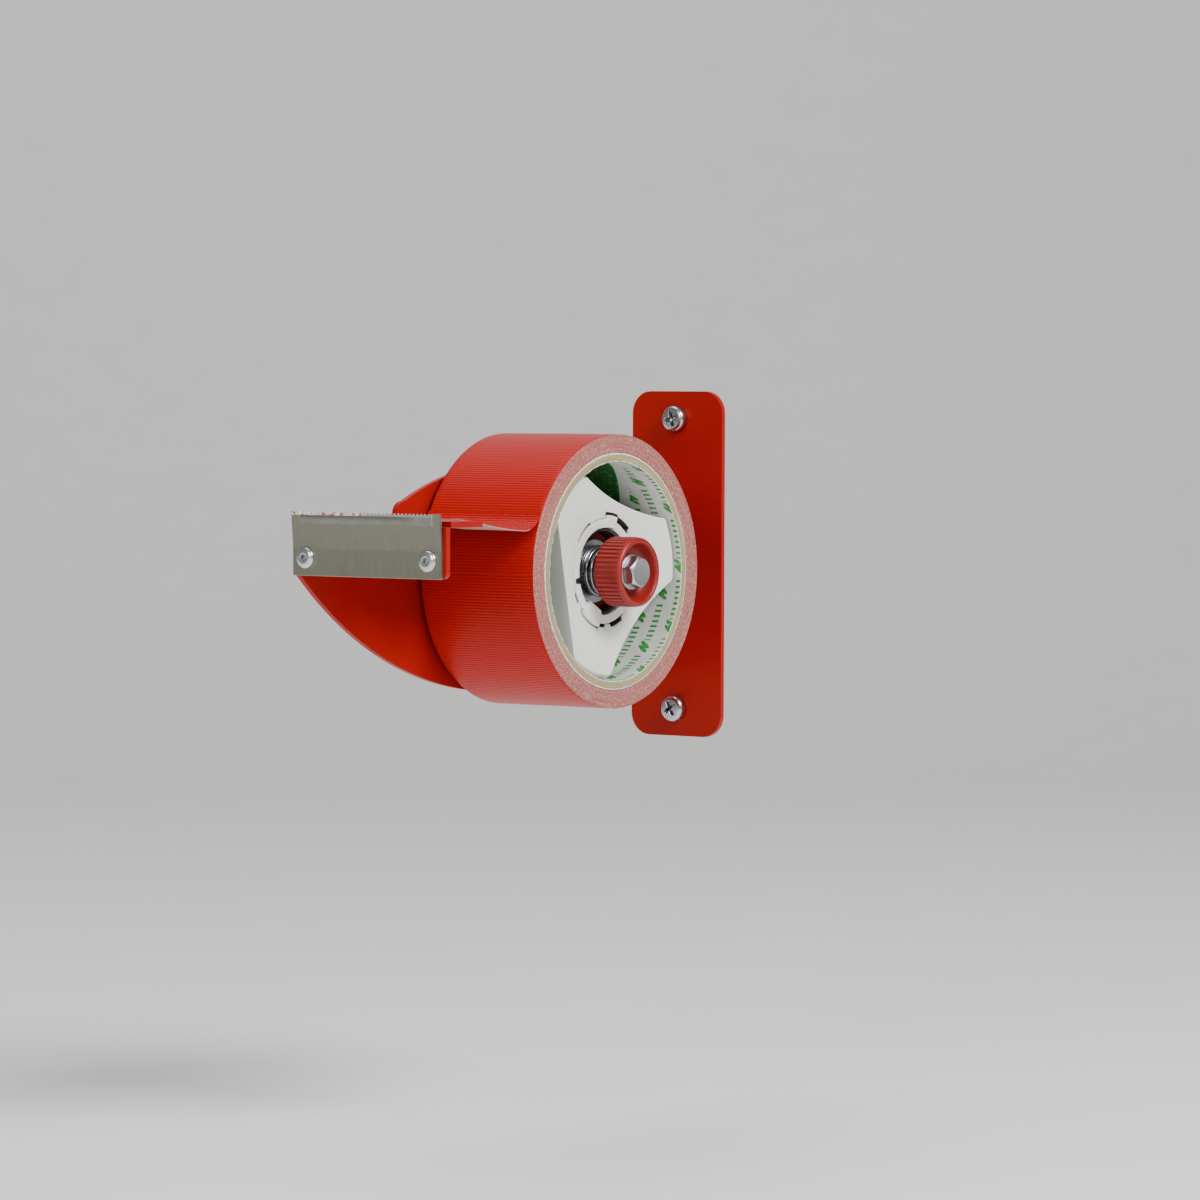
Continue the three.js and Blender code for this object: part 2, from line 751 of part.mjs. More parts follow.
// The ribbed brake nut: a cup open towards the front for the bolt's head, a pocket behind for the
// spring, and a threaded sleeve on the axle. The ribs stop short of the rounded ends.
function knob() {
  const bodyRadius = knobRadius - knobRibDepth;
  const rootRadius = bodyRadius - seat;
  const outline = [];
  for (let i = 0; i < knobRibs; i++) {
    const step = 360 / knobRibs;
    outline.push(polar(rootRadius, i * step));
    outline.push(polar(knobRadius, (i + ribFlank) * step));
    outline.push(polar(knobRadius, (i + ribFlank + ribLand) * step));
    outline.push(polar(rootRadius, (i + 2 * ribFlank + ribLand) * step));
  }
  const ribs = pullX(outline, knobBack + edgeBreak, knobFront - knobRim);
  const inside = rod(rootRadius - hole, knobBack, knobFront);
  const profile = [
    point(sleeveBore, knobBack - knobSleeve),
    point(sleeveRadius, knobBack - knobSleeve),
    point(sleeveRadius, pocketFloor),
    point(pocketRadius, pocketFloor),
    point(pocketRadius, knobBack),
    point(bodyRadius, knobBack),
    ...arc(knobRadius - knobRim, knobFront - knobRim, knobRim, 0, 90, 5),
    point(knobRecessRadius, knobFront - knobRim / 2),
    point(knobRecessRadius - knobRecessTaper, recessFloor),
    point(sleeveBore, recessFloor),
  ];
  return join(cut(ribs, inside), turnX(profile, knobRibs * 2));
}

const washerBack = recessFloor + 2 * seat;
const headBack = washerBack + boltWasherThick + seat;

function boltWasher() {
  return tube(boltRadius + boltWasherRim, boltRadius + hole, washerBack, washerBack + boltWasherThick);
}

// The hexagon bolt that keeps the knob on the axle, with the corners of its head chamfered.
function knobBolt() {
  const top = headBack + boltHead;
  const flat = boltRadius + boltFlatRise;
  const head = hexagon(2 * flat, headBack, top, boltTurn);
  const cone = turnX([
    point(0, headBack),
    point(flat + over, headBack),
    point(flat + over, top - edgeBreak),
    point(flat - hole, top),
    point(0, top),
  ]);
  const shank = rod(boltRadius, headBack - boltLength, headBack + over, 32);
  return join(head.intersect(cone), shank);
}

function tapeCore() {
  return tube(coreRadius - seat, coreBore, rollLeft, rollRight, 80);
}

function tapeRoll() {
  return tube(tapeRadius, coreRadius, rollLeft, rollRight, 80);
}

// The tape's free end as a thin ribbon. Seen along X it peels off the roll on an arc, rises in a
// straight line to the rest's back edge, lies on the rest and lifts to the blade's teeth.
function tapeLead() {
  const lift = leadThick / 2 + seat;
  const fromAxis = tapeRadius + lift + peelRadius;
  const along = rad(leadTurn);
  const middle = point(-axleOut + fromAxis * Math.cos(along), fromAxis * Math.sin(along));
  const restLevel = restTop + lift;
  const ahead = middle.x - restBack;
  const above = middle.y - restLevel;
  const rise = Math.asin(peelRadius / Math.hypot(ahead, above)) - Math.atan2(above, ahead);
  const peelEnd = 270 - THREE.MathUtils.radToDeg(rise);
  const line = [
    ...arc(middle.x, middle.y, peelRadius, leadTurn + 180, peelEnd, 10),
    point(restBack, restLevel),
    point(restFront, restLevel),
    point(bladeBack - hole, bladeHigh - toothHeight - hole),
  ];
  const upper = [];
  const lower = [];
  line.forEach((p, i) => {
    const before = line[Math.max(i - 1, 0)];
    const after = line[Math.min(i + 1, line.length - 1)];
    const normal = point(after.y - before.y, before.x - after.x).setLength(leadThick / 2);
    upper.push(point(p.x + normal.x, p.y + normal.y));
    lower.unshift(point(p.x - normal.x, p.y - normal.y));
  });
  return pullX([...upper, ...lower], rollLeft, rollRight);
}

const redPaint = { color: 0xb5160e, roughness: 0.4, metalness: 0 };
const zinc = { color: 0xc9ccd0, roughness: 0.25, metalness: 1 };
const bladeSteel = { color: 0x9a968b, roughness: 0.35, metalness: 1 };
const aluminium = { color: 0xd6d9db, roughness: 0.3, metalness: 1 };
const whitePlastic = { color: 0xe4e3dd, roughness: 0.45, metalness: 0 };
const greyPlastic = { color: 0x3c3b3a, roughness: 0.6, metalness: 0 };
const redPlastic = { color: 0xb02a20, roughness: 0.45, metalness: 0 };
const redFibre = { color: 0x7d1512, roughness: 0.8, metalness: 0 };
const springSteel = { color: 0x8d9094, roughness: 0.3, metalness: 1 };
const board = { color: 0xb9b09a, roughness: 0.9, metalness: 0 };
const redTape = { color: 0xc81d10, roughness: 0.3, metalness: 0 };

const dispenser = new THREE.Group();
const hubAxis = new THREE.Group();
hubAxis.position.set(0, -axleOut, 0);
dispenser.add(hubAxis);

function addPiece(group, name, body, finish) {
  const mesh = new THREE.Mesh(geometryOf(body), new THREE.MeshStandardMaterial(finish));
  mesh.name = name;
  group.add(mesh);
}

addPiece(dispenser, "frame_plate", framePlate(), redPaint);
addPiece(dispenser, "blade", blade(), bladeSteel);
addPiece(dispenser, "blade_rivet_left", rivet(rivetPlaces[0]), aluminium);
addPiece(dispenser, "blade_rivet_right", rivet(rivetPlaces[1]), aluminium);
addPiece(dispenser, "wall_screw_bottom", wallScrew(-screwSpacing / 2, screwTurns[0]), zinc);
addPiece(dispenser, "wall_screw_top", wallScrew(screwSpacing / 2, screwTurns[1]), zinc);
addPiece(dispenser, "tape_lead", tapeLead(), redTape);
addPiece(hubAxis, "axle_stud", axle(), zinc);
addPiece(hubAxis, "axle_washer", axleWasher(), zinc);
addPiece(hubAxis, "axle_nut", axleNut(), zinc);
addPiece(hubAxis, "hub_body", hubBody(), whitePlastic);
addPiece(hubAxis, "hub_ring", hubRing(), whitePlastic);
addPiece(hubAxis, "hub_bush", hubBush(), greyPlastic);
addPiece(hubAxis, "friction_disc", frictionDisc(), redFibre);
addPiece(hubAxis, "brake_washer", brakeWasher(), zinc);
addPiece(hubAxis, "brake_spring", brakeSpring(), springSteel);
addPiece(hubAxis, "spring_seat", springSeat(), zinc);
addPiece(hubAxis, "brake_knob", knob(), redPlastic);
addPiece(hubAxis, "bolt_washer", boltWasher(), zinc);
addPiece(hubAxis, "knob_bolt", knobBolt(), zinc);
addPiece(hubAxis, "tape_core", tapeCore(), board);
addPiece(hubAxis, "tape_roll", tapeRoll(), redTape);

export default dispenser;
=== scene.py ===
# Looks for the wall-mounted tape dispenser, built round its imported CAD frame. Metres, +Z up.
import functools
import math

import bmesh
import bpy
import numpy as np
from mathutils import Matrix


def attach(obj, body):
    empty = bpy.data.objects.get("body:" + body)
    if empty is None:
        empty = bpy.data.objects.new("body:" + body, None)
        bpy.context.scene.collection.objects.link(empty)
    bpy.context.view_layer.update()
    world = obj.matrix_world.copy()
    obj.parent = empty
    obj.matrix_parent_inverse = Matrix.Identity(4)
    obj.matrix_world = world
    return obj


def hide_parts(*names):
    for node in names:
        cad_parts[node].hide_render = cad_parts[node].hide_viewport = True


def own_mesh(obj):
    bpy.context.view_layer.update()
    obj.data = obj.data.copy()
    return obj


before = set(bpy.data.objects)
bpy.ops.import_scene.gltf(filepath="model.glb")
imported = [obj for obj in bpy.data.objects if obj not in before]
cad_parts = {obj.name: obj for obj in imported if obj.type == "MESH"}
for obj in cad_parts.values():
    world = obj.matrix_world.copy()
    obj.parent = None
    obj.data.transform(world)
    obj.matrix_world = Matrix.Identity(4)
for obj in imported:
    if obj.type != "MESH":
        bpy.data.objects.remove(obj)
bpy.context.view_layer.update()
mm = 0.001
axisY = -82.4  # hub's axis, mm from the wall

cameraSetup = dict(
    place=(1.1464, -1.5772, 0.0647),
    forward=(-0.59938, 0.79946, -0.04),
    roll=0.214,  # degrees
    lens=161.23,
    sensor=36.0,
)


def placed(thing, right, up, back, place):
    # stands a camera or a light at a place, with its own three axes given
    bpy.context.collection.objects.link(thing)
    rows = np.eye(4)
    rows[:3] = np.column_stack([right, up, back, place])
    thing.matrix_world = rows.T.tolist()
    return thing


def placeCamera(setup):
    # the camera looks along forward, and its right axis is turned by roll about that
    forward = np.array(setup["forward"]) / np.linalg.norm(setup["forward"])
    level = np.cross(forward, (0, 0, 1))
    level /= np.linalg.norm(level)
    turn = math.radians(setup["roll"])
    right = level * math.cos(turn) + np.cross(level, forward) * math.sin(turn)
    data = bpy.data.cameras.new("mainCamera")
    data.lens = setup["lens"]
    data.sensor_width = setup["sensor"]
    data.clip_end = 30
    camera = bpy.data.objects.new("mainCamera", data)
    up = np.cross(right, forward)
    bpy.context.scene.camera = placed(camera, right, up, -forward, setup["place"])


placeCamera(cameraSetup)
print("camera placed")


def tone(code):
    # an sRGB hex colour as linear light; a plain number is a linear grey
    if not isinstance(code, str):
        return (code, code, code, 1.0)
    part = np.array([int(code[i : i + 2], 16) for i in (1, 3, 5)]) / 255
    linear = np.where(part <= 0.04045, part / 12.92, ((part + 0.055) / 1.055) ** 2.4)
    return (*linear.tolist(), 1.0)


def addNode(tree, kind, inputs=(), out=0, stops=(), **settings):
    # a node with its settings and a ramp's stops; its sockets, in order or by name, are set to
    # values or joined to other sockets; a kind all in capitals is a sum of that operation
    if kind.isupper():
        kind, settings = "Math", dict(operation=kind)
    node = tree.nodes.new("ShaderNode" + kind)
    for name, value in settings.items():
        setattr(node, name, value)
    for socket, value in inputs.items() if isinstance(inputs, dict) else enumerate(inputs):
        if isinstance(value, bpy.types.NodeSocket):
            tree.links.new(value, node.inputs[socket])
        else:
            node.inputs[socket].default_value = value
    for k, (place, colour) in enumerate(stops):
        marks = node.color_ramp.elements
        mark = marks[k] if k < len(marks) else marks.new(place)
        mark.position, mark.color = place, tone(colour)
    return node.outputs[out]


def newFinish(name, colour, roughness, metallic=0.0, **more):
    # a finish with its even values, the adder of its nodes, and the place on the piece
    finish = bpy.data.materials.new(name)
    finish.use_nodes = True
    even = dict(Base_Color=tone(colour), Roughness=roughness, Metallic=metallic, **more)
    shader = finish.node_tree.nodes["Principled BSDF"]
    for socket, value in even.items():
        shader.inputs[socket.replace("_", " ")].default_value = value
    add = functools.partial(addNode, finish.node_tree)
    return finish, add, add("TexCoord", out="Object")


def joined(finish, **sockets):
    # joins the shader's sockets to what varies over the surface
    shader = finish.node_tree.nodes["Principled BSDF"]
    for socket, value in sockets.items():
        finish.node_tree.links.new(value, shader.inputs[socket.replace("_", " ")])
    return finish


def perMetre(size):
    # noise scale whose grain is about this many millimetres
    return 1 / (size * mm)


asColour = dict(data_type="RGBA", out=2)  # a Mix of colours: 0 is its factor, 6 and 7 its colours


def fromAxis(add, place):
    # distance from the hub's axis in millimetres, and the direction round it
    moved = add(
        "Mapping",
        {"Vector": place, "Location": (0, -axisY, 0), "Scale": (0, 1 / mm, 1 / mm)},
    )
    far = add("VectorMath", [moved], out="Value", operation="LENGTH")
    return far, add("VectorMath", [moved], operation="NORMALIZE")


# Noise inputs below stand in the node's own order: vector, W, scale, detail, roughness.


# Powder-coated steel: a satin red skin with a faint orange peel that softens the highlights.
def powderCoat():
    gloss = dict(IOR=1.45, Specular_IOR_Level=0.3)
    finish, add, place = newFinish("redPowderCoat", "#a00d05", 0.42, **gloss)
    peel = add("TexNoise", [place, 0, perMetre(0.9), 2, 0.55])
    cloud = add("TexNoise", [place, 0, perMetre(22), 2, 0.55])
    tint = add("Mix", {0: cloud, 6: tone("#a60f06"), 7: tone("#980b04")}, **asColour)
    rough = add("MapRange", [peel, 0, 1, 0.3, 0.44])
    bump = add("Bump", {"Height": peel, "Strength": 0.35, "Distance": 0.05 * mm})
    return joined(finish, Base_Color=tint, Roughness=rough, Normal=bump)


# Cloth tape: glossy red film over a woven scrim. Its threads run across the tape and along it, and
# their pitch is drawn wider than the cloth's own, so that it still shows.
clothSizes = dict(across=1.05, along=1.15, alongShare=0.35, slub=3.5)


def clothTape(name, roughness, s):
    finish, add, place = newFinish(name, "#b00e05", roughness, IOR=1.26, Specular_IOR_Level=0.5)
    waves = []
    uv = add("SeparateXYZ", [add("TexCoord", out="UV")], out=slice(2))
    for way, pitch in zip(uv, (s["across"], s["along"])):
        phase = add("MULTIPLY", [way, 2 * math.pi / (pitch * mm)])
        waves.append(add("SINE", [phase]))
    weave = add("MULTIPLY_ADD", [waves[1], s["alongShare"], waves[0]])
    slub = add("TexNoise", [place, 0, perMetre(s["slub"]), 4, 0.55])
    height = add("MULTIPLY_ADD", [slub, 3, weave])
    lift = add("MapRange", [weave, -1.3, 1.3])
    tint = add("Mix", {0: lift, 6: tone("#a00801"), 7: tone("#b80f05")}, **asColour)
    bump = add("Bump", {"Height": height, "Strength": 0.7, "Distance": 0.06 * mm})
    return joined(finish, Base_Color=tint, Normal=bump)


# The tape's loose end is film on top and dull natural-rubber adhesive below.
def leadTape():
    finish = clothTape("clothTapeLooseEnd", 0.27, clothSizes)
    add = functools.partial(addNode, finish.node_tree)
    shader = finish.node_tree.nodes["Principled BSDF"]
    film = shader.inputs["Base Color"].links[0].from_socket
    side = add("Attribute", out="Fac", attribute_name="adhesive")
    crumb = add("TexNoise", [add("TexCoord", out="Object"), 0, perMetre(1.2), 4, 0.55])
    gum = add("ValToRGB", [crumb], stops=[(0.3, "#a87f77"), (0.7, "#c6a49b")])
    cut = add("ValToRGB", [side], stops=[(0.2, 0.0), (0.35, 1.0)])
    tint = add("Mix", {0: cut, 6: film, 7: gum}, **asColour)
    rough = add("MapRange", [side, 0, 1, 0.26, 0.6])
    return joined(finish, Base_Color=tint, Roughness=rough)


# The roll's cut side: tape edges pressed together, dusty pink with pale adhesive specks.
def woundSide():
    finish, add, place = newFinish("woundTapeEdges", "#bb8b84", 0.62, IOR=1.45)
    far, way = fromAxis(add, place)
    layer = add("MULTIPLY", [far, 3.4])  # layers are 0.3 mm apart
    spread = add("VectorMath", {0: way, "Scale": 1.6}, operation="SCALE")
    stripe = add("TexNoise", [spread, layer, 1, 3, 0.6], noise_dimensions="4D")
    speck = add("TexNoise", [place, 0, perMetre(0.75), 3, 0.75])
    smudge = add("TexNoise", [place, 0, perMetre(7), 4, 0.6])
    stops = [(0.25, "#894741"), (0.45, "#9b5851"), (0.58, "#a4635c"), (0.78, "#b17972")]
    tint = add("ValToRGB", [stripe], stops=stops)
    for source, colour, stops in (
        (speck, "#d8bab4", [(0.54, 0.0), (0.66, 0.6)]),
        (speck, "#85413b", [(0.34, 0.6), (0.44, 0.0)]),
        (smudge, "#948a82", [(0.62, 0.0), (0.72, 0.55)]),
    ):
        amount = add("ValToRGB", [source], stops=stops)
        tint = add("Mix", {0: amount, 6: tint, 7: tone(colour)}, **asColour)
    height = add("MULTIPLY_ADD", [speck, 0.6, stripe])
    bump = add("Bump", {"Height": height, "Strength": 0.6, "Distance": 0.12 * mm})
    return joined(finish, Base_Color=tint, Normal=bump)


# Wound paperboard: beige kraft in fine layers, with white facing papers at its bore and outside.
def paperBoard(inner, outer):
    finish, add, place = newFinish("kraftCoreBoard", "#b6aa8f", 0.85, IOR=1.45)
    far, way = fromAxis(add, place)
    fibre = add("TexNoise", [place, 0, perMetre(1.1), 5, 0.65])
    plies = add("MULTIPLY", [far, 4])
    layer = add("TexNoise", [way, plies, 1, 2], noise_dimensions="4D")
    tint = add("ValToRGB", [layer], stops=[(0.3, "#8a7b54"), (0.5, "#9d8f6b"), (0.72, "#b3a789")])
    share = add("MULTIPLY", [fibre, 0.35])
    tint = add("Mix", {0: share, 6: tint, 7: tone("#94875f")}, **asColour)
    wander = add("MULTIPLY_ADD", [fibre, 1.3, far])
    for middle, half in ((inner + 0.85, 0.13), (outer + 0.35, 0.2)):
        off = add("SUBTRACT", [wander, middle])
        gap = add("ABSOLUTE", [off])
        share = add("DIVIDE", [gap, 2 * half])
        line = add("ValToRGB", [share], stops=[(0.35, 1.0), (0.6, 0.0)])
        tint = add("Mix", {0: line, 6: tint, 7: tone("#e3e1d8")}, **asColour)
    height = add("ADD", [layer, fibre])
    bump = add("Bump", {"Height": height, "Strength": 0.5, "Distance": 0.1 * mm})
    return joined(finish, Base_Color=tint, Normal=bump)


# Coated liner paper in the core, with a slanting green print: rows of plain blocks and a band.
linerPrint = dict(
    firstRow=21.6,
    rowPitch=7.2,
    rowShift=9.7,
    group=23.908,  # a tenth of the way round the bore
    blockShare=0.66,
    blocks=11,
    ink=0.46,
    high=0.2,
    ovals=(0.75, 0.84),
    bandStart=54.4,
    bandPitch=100,
    round=239.08,
    band=0.78,
    bare=0.045,
)


def linerPaper(s):
    finish, add, place = newFinish("printedLinerPaper", "#c9cac5", 0.5, IOR=1.45)
    uv = add("SeparateXYZ", [add("TexCoord", out="UV")], out=slice(2))
    wide, high = (add("MULTIPLY", [way, 1 / mm]) for way in uv)
    above = add("SUBTRACT", [high, s["firstRow"]])
    row = add("DIVIDE", [above, s["rowPitch"]])
    off = add("SUBTRACT", [add("FRACT", [row]), 0.5])
    inRow = add("ABSOLUTE", [off])
    whole = add("FLOOR", [row])
    moved = add("MULTIPLY_ADD", [whole, s["rowShift"], wide])
    group = add("FRACT", [add("DIVIDE", [moved, s["group"]])])
    block = add("FRACT", [add("MULTIPLY", [group, s["blocks"]])])
    dashes = add("LESS_THAN", [group, s["blockShare"]])
    for value, limit in ((block, s["ink"]), (inRow, s["high"])):
        inside = add("LESS_THAN", [value, limit])
        dashes = add("MULTIPLY", [dashes, inside])
    marks = dashes
    for at in s["ovals"]:
        # a leaning oval: (22 u)^2 + (2.9 v)^2 < 1
        lean = add("SUBTRACT", [group, at])
        lean = add("MULTIPLY_ADD", [off, -0.2, lean])
        parts = []
        for value, scale in ((lean, 22), (inRow, 2.9)):
            scaled = add("MULTIPLY", [value, scale])
            parts.append(add("MULTIPLY", [scaled, scaled]))
        spot = add("LESS_THAN", [add("ADD", parts), 1])
        marks = add("MAXIMUM", [marks, spot])
    seam = add("SUBTRACT", [high, s["bandStart"]])
    seam = add("MULTIPLY_ADD", [wide, s["bandPitch"] / s["round"], seam])
    seam = add("FRACT", [add("DIVIDE", [seam, s["bandPitch"]])])
    band = add("GREATER_THAN", [seam, s["band"]])
    bare = add("GREATER_THAN", [seam, s["bare"]])
    marks = add("MULTIPLY", [marks, bare])
    worn = add("TexNoise", [place, 0, perMetre(1.3), 4, 0.55])
    kept = add("ValToRGB", [worn], stops=[(0.3, 0.35), (0.42, 1.0)])
    ink = add("MAXIMUM", [marks, band])
    ink = add("MULTIPLY", [ink, kept])
    cloud = add("TexNoise", [place, 0, perMetre(9), 3, 0.55])
    paper = add("ValToRGB", [cloud], stops=[(0.3, "#bdbeb8"), (0.7, "#d2d3ce")])
    green = add("Mix", {0: band, 6: tone("#2a8538"), 7: tone("#16581d")}, **asColour)
    tint = add("Mix", {0: ink, 6: paper, 7: green}, **asColour)
    bump = add("Bump", {"Height": worn, "Strength": 0.15, "Distance": 0.05 * mm})
    return joined(finish, Base_Color=tint, Normal=bump)


# Moulded plastics: a faint grain and slight sink marks keep the gloss from being even.
def moulded(name, colour, second, roughness):
    finish, add, place = newFinish(name, colour, roughness, IOR=1.5)
    fine = add("TexNoise", [place, 0, perMetre(0.5), 3, 0.55])
    cloud = add("TexNoise", [place, 0, perMetre(9), 2, 0.55])
    tint = add("Mix", {0: cloud, 6: tone(colour), 7: tone(second)}, **asColour)
    rough = add("MapRange", [cloud, 0, 1, roughness - 0.07, roughness + 0.08])
    bump = add("Bump", {"Height": fine, "Strength": 0.4, "Distance": 0.02 * mm})
    return joined(finish, Base_Color=tint, Roughness=rough, Normal=bump)


# Bright metals: plated, drawn or turned, with small uneven stains and fine scratches in the gloss.
def brightMetal(name, colour, second, low, high, stretch=(1, 1, 1)):
    finish, add, place = newFinish(name, colour, low, metallic=1.0)
    drawn = add("Mapping", {"Vector": place, "Scale": stretch})
    fine = add("TexNoise", [drawn, 0, perMetre(0.6), 4, 0.6])
    cloud = add("TexNoise", [place, 0, perMetre(4), 3, 0.55])
    tint = add("Mix", {0: cloud, 6: tone(colour), 7: tone(second)}, **asColour)
    rough = add("MapRange", [fine, 0, 1, low, high])
    bump = add("Bump", {"Height": fine, "Strength": 0.2, "Distance": 0.02 * mm})
    return joined(finish, Base_Color=tint, Roughness=rough, Normal=bump)


# Blade strip: cold-rolled steel ground along its height, so it is dull grey with upright hairlines.
# The hollow-ground bevel carries a painted highlight along its foot and over its right end, the
# teeth a painted near-white glint, and old tape has left pale and red crumbs along the teeth.
grindSizes = dict(top=21.9, left=-16.4, right=40.6, bevel=4.0, teeth=1.1, crumbs=1.15)


def groundSteel(s):
    finish, add, place = newFinish("groundBladeSteel", "#8b887c", 0.4, metallic=1.0)
    lines = add("Mapping", {"Vector": place, "Scale": (1, 1, 0.04)})
    hair = add("TexNoise", [lines, 0, perMetre(0.35), 5, 0.65])
    cloud = add("TexNoise", [place, 0, perMetre(14), 3, 0.55])
    tint = add("ValToRGB", [hair], stops=[(0.3, "#8d8a7d"), (0.6, "#9c998b"), (0.8, "#aba89b")])
    share = add("MULTIPLY", [cloud, 0.5])
    tint = add("Mix", {0: share, 6: tint, 7: tone("#989587")}, **asColour)
    across, _, high = (
        add("MULTIPLY", [way, 1 / mm])
        for way in add("SeparateXYZ", [place], out=slice(3))
    )
    onBevel, toothGlint, nearTeeth = (
        add("GREATER_THAN", [high, s["top"] - s[name]])
        for name in ("bevel", "teeth", "crumbs")
    )
    inside = add("GREATER_THAN", [across, s["left"]])
    right = add("LESS_THAN", [across, s["right"]])
    inside = add("MULTIPLY", [inside, right])
    # painted highlight: a pale colour on the bevel's foot and on its right end
    highlightNoise = add("TexNoise", [place, 0, perMetre(6), 3, 0.6])
    bevelHighlight = add("ValToRGB", [highlightNoise], stops=[(0.35, "#b6b5ad"), (0.65, "#c8c8c1")])
    litFoot = add("MapRange", [high, s["top"] - 1.6, s["top"] - 2.8])
    litRightEnd = add("MapRange", [across, 24, 34])
    highlightShare = add("MAXIMUM", [litFoot, litRightEnd])
    # painted glint: near-white over the teeth along the blade
    for where, amount, colour in ((onBevel, highlightShare, bevelHighlight), (toothGlint, 1.0, tone("#dfe2e1"))):
        where = add("MULTIPLY", [where, inside])
        where = add("MULTIPLY", [where, amount])
        tint = add("Mix", {0: where, 6: tint, 7: colour}, **asColour)
    crumbs = add("TexNoise", [place, 0, perMetre(0.7), 2, 0.6])
    spread = add("MULTIPLY_ADD", [crumbs, 14, across])
    stuck = add("LESS_THAN", [spread, 18])
    clumps = add("ValToRGB", [crumbs], stops=[(0.4, 0.0), (0.5, 1.0)])
    for value in (nearTeeth, clumps):
        stuck = add("MULTIPLY", [stuck, value])
    dirt = add("TexNoise", [place, 0, perMetre(1.9), 1, 0.55])
    residue = add("ValToRGB", [dirt], stops=[(0.44, "#b8261a"), (0.52, "#e6ded8")])
    tint = add("Mix", {0: stuck, 6: tint, 7: residue}, **asColour)
    metal = add("SUBTRACT", [1, stuck])
    rough = add("MapRange", [hair, 0, 1, 0.34, 0.5])
    bump = add("Bump", {"Height": hair, "Strength": 0.3, "Distance": 0.03 * mm})
    return joined(finish, Base_Color=tint, Metallic=metal, Roughness=rough, Normal=bump)


# Vulcanised fibre: pressed cotton pulp dyed dark red, dull with short matted fibres.
def fibreBoard():
    finish, add, place = newFinish("redVulcanisedFibre", "#7a1812", 0.75, IOR=1.5)
    mat = add("TexNoise", [place, 0, perMetre(0.8), 6, 0.7])
    tint = add("ValToRGB", [mat], stops=[(0.3, "#651009"), (0.7, "#8c231a")])
    bump = add("Bump", {"Height": mat, "Strength": 0.5, "Distance": 0.08 * mm})
    return joined(finish, Base_Color=tint, Normal=bump)


finishes = dict(
    paint=powderCoat(),
    tape=clothTape("clothTapeFilm", 0.36, clothSizes),
    lead=leadTape(),
    side=woundSide(),
    board=paperBoard(38.05, 41.2),
    liner=linerPaper(linerPrint),
    hub=moulded("offWhiteStyrene", "#e6e6e1", "#dfdfd9", 0.4),
    # painted shade: dark grey put on the deep walls of the gap round the hub ring, where shade
    # falls
    gapShade=moulded("paintedShadeInHubGaps", "#56524d", "#45413d", 0.8),
    bush=moulded("greyAcetal", "#33302f", "#292727", 0.38),
    knob=moulded("redNylon", "#8f1007", "#840c05", 0.42),
    fibre=fibreBoard(),
    zinc=brightMetal("brightZincPlate", "#c6c9cc", "#b4b8bc", 0.16, 0.34),
    bolt=brightMetal("brightZincBolt", "#c9cbcc", "#b9bcbe", 0.28, 0.45),
    wire=brightMetal("drawnSpringWire", "#a3a5a8", "#8a8d91", 0.16, 0.3, stretch=(6, 1, 1)),
    aluminium=brightMetal("drawnAluminium", "#dddfe0", "#cdd0d2", 0.18, 0.36),
    steel=groundSteel(grindSizes),
)
print("finishes made")


def softCorners(path, radii, steps=3, closed=False):
    # each corner P becomes the curve (1-t)^2 A + 2t(1-t) P + t^2 B, A and B lying one radius from P
    # on its legs, with one more point further along each leg that keeps the flat faces flat
    path = np.asarray(path, float)
    count = len(path)
    if np.isscalar(radii):
        radii = [radii] * count
    done = []
    for i in range(count):
        if radii[i] == 0 or (not closed and i in (0, count - 1)):
            done.append(path[i])
            continue
        here = path[i]
        legs = []
        for other in (path[i - 1], path[(i + 1) % count]):
            way = other - here
            size = np.maximum(np.linalg.norm(way, axis=-1, keepdims=True), 1e-9)
            legs.append((way / size, size))
        ends = [here + way * np.minimum(radii[i], 0.3 * size) for way, size in legs]
        wide = [here + way * np.minimum(1.6 * radii[i], 0.45 * size) for way, size in legs]
        done.append(wide[0])
        for t in np.linspace(0, 1, steps + 1):
            done.append((1 - t) ** 2 * ends[0] + 2 * t * (1 - t) * here + t * t * ends[1])
        done.append(wide[1])
    return np.array(done)


def pieceOf(mesh, finish, sharp=None):
    # a piece from a finished mesh, smooth but for the edges sharper than the given angle
    for one in finish if isinstance(finish, list) else [finish]:
        mesh.materials.append(one)
    mesh.shade_smooth()
    if sharp:
        mesh.set_sharp_from_angle(angle=math.radians(sharp))
    piece = bpy.data.objects.new(mesh.name, mesh)
    bpy.context.collection.objects.link(piece)
    return piece


def cleaned(mesh, merge=None, flat=None):
    # doubled points merged, near-flat neighbours joined, and every face turned outward
    work = bmesh.new()
    work.from_mesh(mesh)
    if merge:
        bmesh.ops.remove_doubles(work, verts=work.verts, dist=merge)
    if flat:
        edges = work.edges
        bmesh.ops.dissolve_limit(work, angle_limit=flat, verts=work.verts, edges=edges)
    else:
        bmesh.ops.recalc_face_normals(work, faces=work.faces)
    work.to_mesh(mesh)
    work.free()
    return mesh


